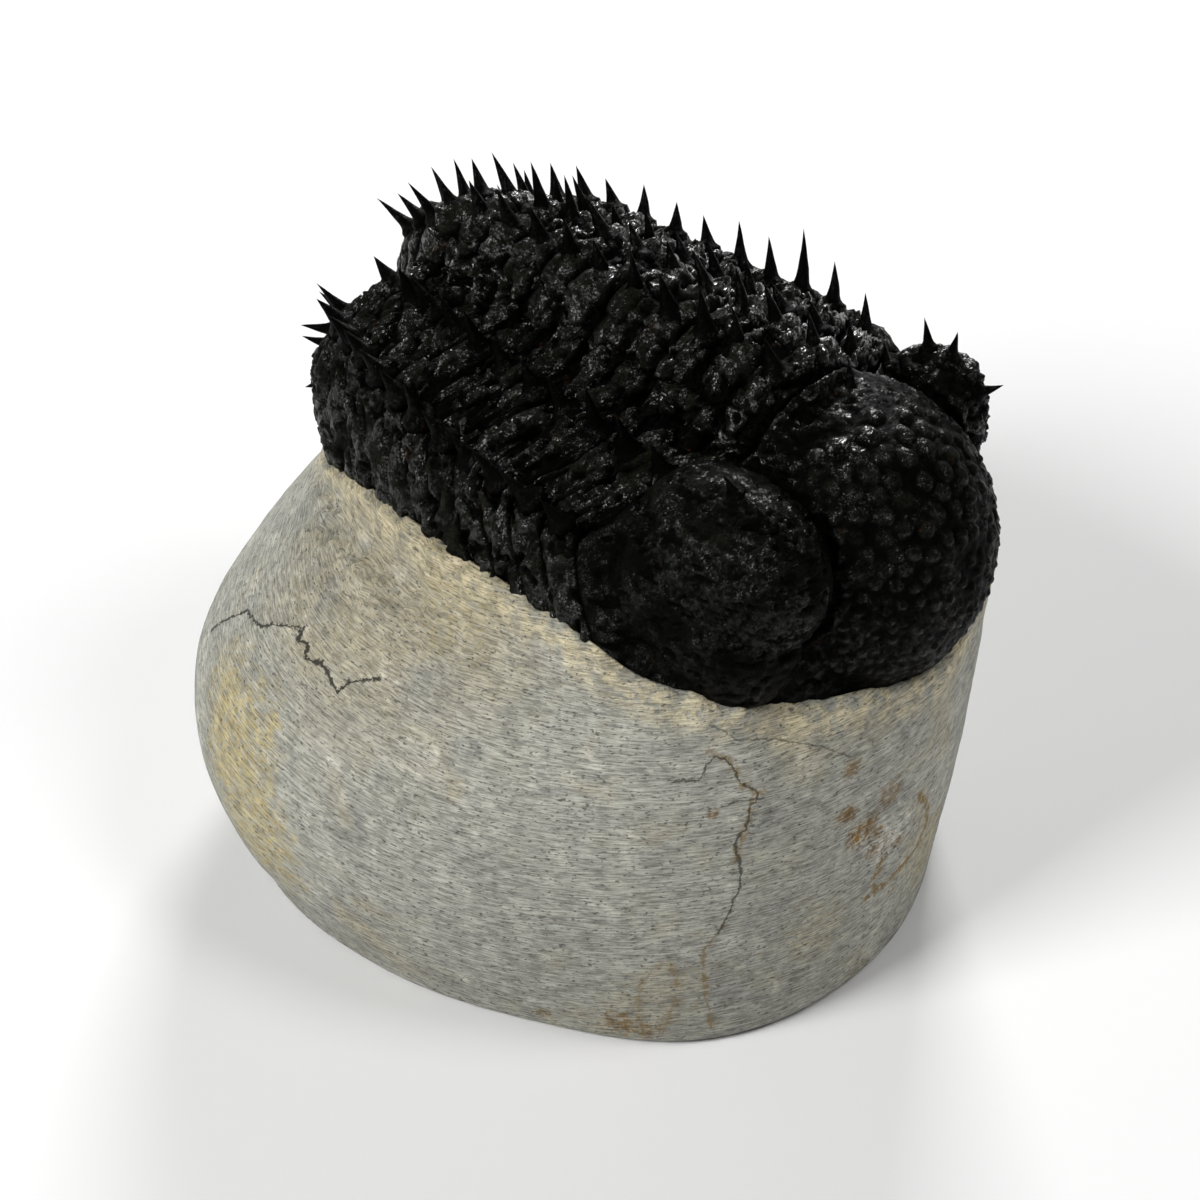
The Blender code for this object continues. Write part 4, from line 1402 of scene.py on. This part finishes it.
class Graph:
    """Short ways to add and join shader nodes."""

    def __init__(self, tree: Tree) -> None:
        """Keep the tree that nodes are added to."""
        self.tree = tree

    def put(self, socket: Socket, value: object) -> None:
        """Join or set one input.

        Args:
            socket: the input.
            value: another node's output, or a value.
        """
        if isinstance(value, Socket):
            self.tree.links.new(value, socket)
        else:
            socket.default_value = value

    def fill(self, node: Node, **inputs: object) -> None:
        """Join or set a node's named inputs, with underscores for spaces."""
        for name, value in inputs.items():
            self.put(node.inputs[name.replace("_", " ")], value)

    def node(self, kind: str, settings: dict | None = None, *values: object,
             **inputs: object) -> Node:
        """Add a node.

        Args:
            kind: its type name.
            settings: properties of the node.
            *values: what its first inputs are joined or set to.
            **inputs: the same for named inputs, with underscores for spaces.

        Returns:
            The node.
        """
        made = self.tree.nodes.new(kind)
        for name, value in (settings or {}).items():
            setattr(made, name, value)
        for socket, value in zip(made.inputs, values):
            self.put(socket, value)
        self.fill(made, **inputs)
        return made

    def math(self, operation: str, *values: object) -> Socket:
        """A Math node's result."""
        return self.node("ShaderNodeMath", {"operation": operation}, *values).outputs[0]

    def times(self, a: object, b: object) -> Socket:
        """Product of two numbers."""
        return self.math("MULTIPLY", a, b)

    def minus(self, a: object, b: object) -> Socket:
        """Difference of two numbers."""
        return self.math("SUBTRACT", a, b)

    def plus(self, a: object, b: object) -> Socket:
        """Sum of two numbers."""
        return self.math("ADD", a, b)

    def vector(self, operation: str, *values: object) -> Node:
        """A Vector Math node."""
        return self.node("ShaderNodeVectorMath", {"operation": operation}, *values)

    def scaled(self, vector: Socket, scale: Triple) -> Socket:
        """A vector times three numbers."""
        return self.vector("MULTIPLY", vector, scale).outputs[0]

    def where(self) -> Socket:
        """Place on the piece, mm."""
        return self.scaled(self.node("ShaderNodeTexCoord").outputs["Object"], (1000, 1000, 1000))

    def noise(self, vector: Socket, scale: object, detail: float = 3.0,
              rough: float = 0.55, distort: float = 0.0) -> Socket:
        """Value of a Noise Texture."""
        return self.node("ShaderNodeTexNoise", Vector=vector, Scale=scale, Detail=detail,
                         Roughness=rough, Distortion=distort).outputs["Fac"]

    def ramp(self, value: object, low: float, high: float, start: float = 0.0,
             end: float = 1.0) -> Socket:
        """Map a value smoothly from low..high to start..end."""
        return self.node("ShaderNodeMapRange", {"interpolation_type": "SMOOTHSTEP"},
                         value, low, high, start, end).outputs["Result"]

    def mix(self, mask: object, a: object, b: object) -> Socket:
        """Lay one colour over another.

        Args:
            mask: how much of the second one is seen.
            a: the first colour.
            b: the second colour.

        Returns:
            The mixed colour.
        """
        made = self.node("ShaderNodeMix", {"data_type": "RGBA"}, mask)
        for socket, colour in zip(made.inputs[6:8], (a, b)):
            self.put(socket, colour)
        return made.outputs[2]

    def attribute(self, name: str) -> Socket:
        """A piece's own number per point."""
        return self.node("ShaderNodeAttribute", {"attribute_name": name}).outputs["Fac"]

    def bump(self, strength: float, metres: float, height: Socket,
             **under: object) -> Socket:
        """A normal that follows small relief."""
        return self.node("ShaderNodeBump", Strength=strength, Distance=metres, Height=height,
                         **under).outputs[0]

    def group(self, tree: Tree, **inputs: object) -> Node:
        """Place a node group with its own values."""
        return self.node("ShaderNodeGroup", {"node_tree": tree}, **inputs)


def new_material(name: str) -> tuple[Material, Graph, Node]:
    """A material, ready to be dressed.

    Args:
        name: its name.

    Returns:
        The material, its graph and its shader.
    """
    made = bpy.data.materials.new(name)
    made.use_nodes = True
    return made, Graph(made.node_tree), made.node_tree.nodes["Principled BSDF"]


def new_group(name: str, inputs: dict[str, str], *outputs: str
              ) -> tuple[Graph, bpy.types.bpy_prop_collection, Node]:
    """An empty shader node group.

    Args:
        name: its name.
        inputs: "Vector" or "Float" for the name of each input.
        *outputs: names of the values that it puts out.

    Returns:
        Its graph, the sockets that bring its inputs, and its output node.
    """
    tree = bpy.data.node_groups.new(name, "ShaderNodeTree")
    for label, kind in inputs.items():
        tree.interface.new_socket(label, in_out="INPUT", socket_type="NodeSocket" + kind)
    for label in outputs:
        tree.interface.new_socket(label, in_out="OUTPUT", socket_type="NodeSocketFloat")
    graph = Graph(tree)
    return graph, graph.node("NodeGroupInput").outputs, graph.node("NodeGroupOutput")


def blot_group() -> Tree:
    """A stain: a ragged-edged ball of colour round a place.

    Returns:
        The group, which puts out a mask.
    """
    graph, source, sink = new_group(
        "blot", {"Vector": "Vector", "Centre": "Vector", "Radius": "Float", "Ragged": "Float"}, "Mask")
    where, radius = source["Vector"], source["Radius"]
    apart = graph.vector("DISTANCE", where, source["Centre"]).outputs["Value"]
    grain = graph.noise(where, graph.math("DIVIDE", 4.0, radius), 4.0, 0.65)
    fray = graph.times(graph.minus(grain, 0.5), source["Ragged"])
    edge = graph.plus(graph.math("DIVIDE", apart, radius), fray)
    graph.fill(sink, Mask=graph.ramp(edge, 0.4, 1.08, 1.0, 0.0))
    return graph.tree


def line_group() -> Tree:
    """A crack or a stain's edge: wandering beside a path.

    Returns:
        The group, which puts out a mask.
    """
    graph, source, sink = new_group(
        "wandering_line", {"Vector": "Vector", "Across": "Float", "Reach": "Float", "Width": "Float"},
        "Mask")
    where, width = source["Vector"], source["Width"]
    wander = graph.minus(graph.noise(where, 1.4, 3.0, 0.6), 0.5)
    sway = graph.times(wander, graph.math("MULTIPLY_ADD", width, 1.6, 0.7))
    beside = graph.math("ABSOLUTE", graph.plus(source["Across"], sway))
    thick = graph.times(width, graph.ramp(graph.noise(where, 0.8, 2.0), 0.3, 0.7, 0.4, 1.6))
    line = graph.ramp(graph.math("DIVIDE", beside, thick), 0.3, 1.0, 1.0, 0.0)
    near = graph.ramp(graph.minus(source["Reach"], width), 0.5, 1.0, 1.0, 0.0)
    graph.fill(sink, Mask=graph.times(line, near))
    return graph.tree


def grinding_group() -> Tree:
    """Level grinding marks: streaks, short dark dashes and pale scratches round the lump.

    Returns:
        The group, which puts out the three.
    """
    graph, source, sink = new_group("grinding", {"Vector": "Vector"}, "Streak", "Speck", "Scratch")
    flat = graph.vector("LENGTH", graph.scaled(source["Vector"], (1.0, 1.0, 0.0))).outputs["Value"]
    x, y, z = graph.node("ShaderNodeSeparateXYZ", Vector=source["Vector"]).outputs
    level = graph.minus(z, graph.times(flat, 0.5))
    ground = graph.node("ShaderNodeCombineXYZ", X=x, Y=y, Z=level).outputs[0]
    streak = graph.noise(graph.scaled(ground, (0.5, 0.5, 5.2)), 1.0, 4.0, 0.72, 0.15)
    speck = graph.noise(graph.scaled(ground, (1.6, 1.6, 3.6)), 1.0, 1.5, 0.5, 0.1)
    scratch = graph.noise(graph.scaled(ground, (0.13, 0.13, 4.2)), 1.0, 2.0, 0.5, 0.1)
    graph.fill(sink, Streak=streak, Speck=graph.ramp(speck, 0.61, 0.7),
               Scratch=graph.ramp(scratch, 0.63, 0.7))
    return graph.tree


@dataclass(frozen=True)
class ShellFinish:
    """Near-black fossil shell, dull for the most part, with varnish that glints in small patches."""

    base: Colour = (0.0007, 0.0007, 0.0005, 1.0)
    dust: Colour = (0.0135, 0.0137, 0.0097, 1.0)
    rust: Colour = (0.03, 0.014, 0.005, 1.0)
    roughness: tuple[float, float] = (0.38, 0.6)
    specular: float = 0.022
    varnish_roughness: float = 0.09

    def material(self) -> Material:
        """Black, with dust and rust on what stands out, and varnish in patches; low places keep the black
        base as painted shade in the crevices.

        Returns:
            The material.
        """
        made, graph, shader = new_material("fossil_shell_varnished")
        where = graph.where()
        fibre = graph.noise(graph.scaled(where, (1.2, 0.26, 0.4)), 2.2, 5.0, 0.65, 0.5)
        grain = graph.noise(where, 2.6, 4.0, 0.7)
        cloud = graph.ramp(graph.noise(where, 0.16, 3.0, 0.6), 0.35, 0.65, 0.25, 1.0)
        # low places keep the black base: painted shade in the crevices, with dust and wear on what stands
        # out
        raised = graph.ramp(graph.attribute("raised"), -0.35, 0.75)
        dust_and_crevice_shade = graph.times(graph.times(graph.ramp(fibre, 0.42, 0.75), cloud), raised)
        worn = graph.times(graph.ramp(grain, 0.3, 0.62), graph.times(raised, 0.75))
        colour = graph.mix(graph.math("MAXIMUM", dust_and_crevice_shade, worn), self.base, self.dust)
        stained = graph.times(graph.ramp(graph.noise(where, 0.3, 4.0, 0.7), 0.63, 0.76),
                              graph.ramp(grain, 0.35, 0.6))
        gloss = graph.times(graph.ramp(graph.noise(where, 0.22, 3.0, 0.6, 0.3), 0.38, 0.52),
                            graph.ramp(graph.noise(where, 1.1, 3.0, 0.6), 0.42, 0.54))
        drops = graph.noise(graph.scaled(where, (1.3, 0.6, 0.8)), 1.6, 2.5, 0.6)
        coarse = graph.bump(0.9, 0.00022, fibre)
        fine = graph.bump(0.8, 0.0001, graph.noise(where, 6.0, 3.0, 0.7), Normal=coarse)
        graph.fill(shader, Base_Color=graph.mix(stained, colour, self.rust), Normal=fine,
                   Roughness=graph.ramp(graph.noise(where, 0.7, 3.0), 0.35, 0.65, *self.roughness),
                   Specular_IOR_Level=self.specular, Coat_Roughness=self.varnish_roughness,
                   Coat_Weight=graph.times(gloss, graph.attribute("varnish")),
                   Coat_Normal=graph.bump(1.0, 0.0004, drops))
        return made


@dataclass(frozen=True)
class StoneFinish:
    """Dull ground limestone: grey, warm near the animal, with stains and cracks, and painted shade that
    darkens it towards the foot.
    """

    grey: Colour = (0.345, 0.345, 0.3, 1.0)
    slate: Colour = (0.235, 0.24, 0.22, 1.0)
    warm: Colour = (0.375, 0.332, 0.225, 1.0)
    pale: Colour = (0.62, 0.6, 0.52, 1.0)
    crumb: Colour = (0.5, 0.435, 0.28, 1.0)
    dark: Colour = (0.07, 0.068, 0.06, 1.0)
    ochre: Colour = (0.44, 0.36, 0.165, 1.0)
    rust: Colour = (0.19, 0.102, 0.014, 1.0)
    crack: Colour = (0.03, 0.028, 0.022, 1.0)
    stain: Colour = (0.21, 0.135, 0.038, 1.0)
    roughness: tuple[float, float] = (0.85, 0.7)
    specular: float = 0.3
    # place, radius, raggedness, strength of each spot
    ochre_spots: Spots = (
        ((-18.8, -40.4, 25.0), 9.5, 2.6, 0.8), ((-14.0, -42.6, 15.5), 9.0, 2.6, 0.75),
        ((-24.0, -36.5, 29.0), 6.0, 2.2, 0.4), ((2.5, -27.0, 50.5), 8.0, 2.2, 0.35),
        ((32.0, -26.5, 9.0), 6.0, 2.4, 0.25), ((40.0, 8.0, 12.0), 7.0, 2.6, 0.3),
        ((40.5, -11.0, 14.0), 6.0, 2.6, 0.3))
    pale_spots: Spots = (
        ((43.2, -0.6, 21.8), 3.8, 2.4, 0.95), ((34.0, -21.2, 47.3), 2.2, 2.4, 0.7),
        ((40.5, 0.5, 45.5), 5.0, 3.0, 0.45), ((-32.0, -32.5, 23.5), 4.5, 1.4, 0.4),
        ((-28.5, -36.5, 18.5), 3.5, 1.4, 0.35))
    slate_spots: Spots = (
        ((4.9, -32.2, 40.8), 4.5, 2.0, 0.6), ((12.2, -34.0, 37.9), 2.0, 2.4, 0.6),
        ((38.8, -15.0, 19.0), 5.0, 2.2, 0.45), ((36.0, -21.5, 9.0), 5.0, 2.2, 0.4))
    rust_spots: Spots = (
        ((42.5, -8.3, 29.8), 1.8, 1.6, 0.9), ((42.6, -8.1, 36.3), 1.6, 1.8, 0.7),
        ((43.0, -6.3, 25.8), 2.4, 2.4, 1.0), ((43.2, -4.6, 27.0), 1.5, 2.2, 0.9),
        ((43.3, -3.6, 24.4), 1.5, 2.4, 0.85), ((43.4, -2.2, 29.5), 2.4, 1.8, 0.7),
        ((43.2, 0.6, 20.1), 1.0, 2.0, 0.9), ((43.1, -3.9, 21.7), 1.3, 2.4, 0.8),
        ((43.3, -1.8, 22.4), 0.9, 2.0, 0.9), ((35.8, -22.3, 35.6), 0.9, 1.4, 0.95),
        ((28.6, -28.2, 3.6), 2.8, 2.6, 0.8), ((31.0, -26.0, 2.6), 1.6, 2.4, 0.7),
        ((20.6, -32.6, 2.5), 1.5, 2.0, 0.85))

    def ground(self, graph: Graph, where: Socket,
               fleck: Socket) -> Socket:
        """Colour of the stone with its clouds and blots.

        Args:
            graph: the material's graph.
            where: place on the lump, mm.
            fleck: fine noise that breaks up the edges.

        Returns:
            The colour.
        """
        blot = blot_group()
        top = graph.group(blot, Vector=where, Centre=(-6.0, -24.0, 49.0), Radius=27.0, Ragged=0.8)
        cloud = graph.ramp(graph.noise(where, 0.085, 4.0, 0.6, 0.4), 0.52, 0.7, 0.0, 0.75)
        warmth = graph.math("MAXIMUM", cloud, graph.times(top.outputs["Mask"], 0.85))
        warmth = graph.times(warmth, graph.ramp(fleck, 0.3, 0.6, 0.45, 1.0))
        colour = graph.mix(warmth, self.grey, self.warm)
        slate = graph.ramp(graph.noise(where, 0.13, 4.0, 0.65, 0.3), 0.52, 0.7, 0.0, 0.55)
        chalk = graph.ramp(graph.noise(where, 0.2, 4.0, 0.7, 0.3), 0.54, 0.7, 0.0, 0.4)
        colour = graph.mix(chalk, graph.mix(slate, colour, self.slate), self.pale)
        broken = graph.ramp(fleck, 0.38, 0.56, 0.25, 1.0)
        for spots, tint in ((self.ochre_spots, self.ochre), (self.slate_spots, self.slate),
                            (self.pale_spots, self.pale), (self.rust_spots, self.rust)):
            for centre, radius, rough, strength in spots:
                spot = graph.group(blot, Vector=where, Centre=centre, Radius=radius, Ragged=rough)
                share = graph.times(graph.times(spot.outputs["Mask"], strength), broken)
                colour = graph.mix(share, colour, tint)
        return colour

    def lines(self, graph: Graph, where: Socket, fleck: Socket,
              colour: Socket) -> tuple[Socket, Socket]:
        """Draw the stains' edges and then the cracks.

        Args:
            graph: the material's graph.
            where: place on the lump, mm.
            fleck: fine noise that breaks up the stains.
            colour: the stone's colour.

        Returns:
            The new colour, and a mask of the cracks.
        """
        wandering, crack = line_group(), 0.0
        patchy = graph.ramp(fleck, 0.38, 0.56, 0.2, 1.0)
        for line in sorted(ROCK_LINES, key=lambda item: not item.stain):
            across, reach = (graph.attribute(line.name + end) for end in ("_across", "_reach"))
            drawn = graph.group(wandering, Vector=where, Across=across, Reach=reach, Width=line.width)
            strength = graph.times(patchy if line.stain else 1.0, line.strength)
            mask = graph.times(drawn.outputs["Mask"], strength)
            colour = graph.mix(mask, colour, self.stain if line.stain else self.crack)
            if not line.stain:
                crack = graph.math("MAXIMUM", crack, mask)
        return colour, crack

    def material(self) -> Material:
        """Stone with blots, a crumbly rim, grinding marks and cracks, darkened towards the foot as painted
        shade.

        Returns:
            The material.
        """
        made, graph, shader = new_material("limestone_ground")
        where = graph.where()
        marks = graph.group(grinding_group(), Vector=where).outputs
        mottle, fleck = graph.noise(where, 0.5, 4.0, 0.65), graph.noise(where, 1.3, 3.0, 0.65)
        torn = graph.times(graph.attribute("rim"), graph.ramp(mottle, 0.38, 0.58))
        colour = graph.mix(graph.times(torn, 0.8), self.ground(graph, where, fleck), self.crumb)
        level = graph.node("ShaderNodeSeparateXYZ", Vector=where).outputs["Z"]
        shade = graph.times(graph.ramp(marks["Streak"], 0.35, 0.65, 0.6, 1.4),
                            graph.ramp(mottle, 0.32, 0.68, 0.84, 1.15))
        # darker towards the foot: painted shade on the lower side
        shade = graph.times(shade, graph.ramp(level, 0.0, 26.0, 0.84, 1.0))
        tone = graph.vector("SCALE", colour)
        graph.fill(tone, Scale=shade)
        colour = graph.mix(graph.times(marks["Scratch"], 0.45), tone.outputs[0], self.pale)
        colour = graph.mix(graph.times(marks["Speck"], 0.75), colour, self.dark)
        colour, crack = self.lines(graph, where, fleck, colour)
        height = graph.minus(graph.times(marks["Streak"], 0.5),
                             graph.plus(crack, graph.times(marks["Speck"], 0.35)))
        height = graph.plus(height, graph.times(torn, graph.times(fleck, 1.6)))
        graph.fill(shader, Base_Color=colour, Normal=graph.bump(0.6, 0.00025, height),
                   Roughness=graph.ramp(marks["Streak"], 0.3, 0.7, *self.roughness),
                   Specular_IOR_Level=self.specular)
        return made


# ------------------------------------------------------------------ studio


@dataclass(frozen=True)
class Studio:
    """Pale floor, soft lamps and the camera."""

    azimuth: float = 42.0
    elevation: float = 39.0
    lens: float = 100.0
    distance: float = 0.379
    target: Triple = (0.0, 0.0, 0.031)
    floor_size: float = 6.0
    floor_colour: Colour = (0.86, 0.86, 0.86, 1.0)
    floor_roughness: float = 0.9
    # place from the target towards camera right, up and back, size, power
    lamps: Rows = (
        (-0.58, 0.22, 0.7, 0.34, 6.8), (0.5, 0.5, 0.6, 0.3, 2.3), (0.1, 0.9, -0.45, 0.3, 8.5))
    ambient: float = 0.12

    def axes(self) -> tuple[Vector, Vector, Vector]:
        """How the camera is turned.

        Returns:
            Directions of its right, up and back.
        """
        a, e = math.radians(self.azimuth), math.radians(self.elevation)
        back = Vector((math.sin(a) * math.cos(e), -math.cos(a) * math.cos(e), math.sin(e)))
        right = Vector((math.cos(a), math.sin(a), 0))
        return right, back.cross(right), back

    def build(self) -> None:
        """Set the floor, the lamps, the world and the camera."""
        right, up, back = self.axes()
        target = Vector(self.target)
        Workshop.clear()
        bpy.ops.mesh.primitive_plane_add(size=self.floor_size, location=(0, 0, -0.0002))
        floor = bpy.context.object
        floor.name = "pale_floor"
        paper, graph, shader = new_material("pale_paper")
        graph.fill(shader, Base_Color=self.floor_colour, Roughness=self.floor_roughness)
        floor.data.materials.append(paper)
        for index, (x, y, z, size, power) in enumerate(self.lamps):
            lamp = bpy.data.lights.new("softbox_%d" % (index + 1), "AREA")
            lamp.size, lamp.energy = size, power
            obj = Workshop.link(lamp.name, lamp)
            obj.location = target + right * x + up * y + back * z
            obj.rotation_euler = (target - obj.location).to_track_quat("-Z", "Y").to_euler()
        world = bpy.data.worlds.new("studio")
        world.use_nodes = True
        graph = Graph(world.node_tree)
        seen = graph.node("ShaderNodeLightPath").outputs["Is Camera Ray"]
        graph.fill(world.node_tree.nodes["Background"], Color=(1.0, 1.0, 1.0, 1.0),
                   Strength=graph.ramp(seen, 0.0, 1.0, self.ambient, 1.0))
        bpy.context.scene.world = world
        data = bpy.data.cameras.new("camera")
        data.lens, data.sensor_width = self.lens, 36.0
        data.clip_start, data.clip_end = 0.01, 20.0
        camera = Workshop.link("camera", data)
        camera.location = target + back * self.distance
        camera.rotation_euler = (-back).to_track_quat("-Z", "Y").to_euler()
        bpy.context.scene.camera = camera
        bpy.context.scene.view_settings.view_transform = "Standard"


def main() -> None:
    """Build the studio, the rock and the animal, in order."""
    logging.basicConfig(level=logging.INFO, format="%(message)s")
    Studio().build()
    back = Back()
    thorns = ThornMaker()
    noise.seed_set(SEED)
    draws = random.Random(SEED)
    shell, stone = ShellFinish().material(), StoneFinish().material()
    head = Head(back, thorns, draws)
    Rock(back, head.ball).build(stone)
    head.build(shell)
    Thorax(back, thorns, draws).build(shell)
    Tail(back, thorns, draws).build(shell)
    Workshop.clear()


if __name__ == "__main__":
    main()
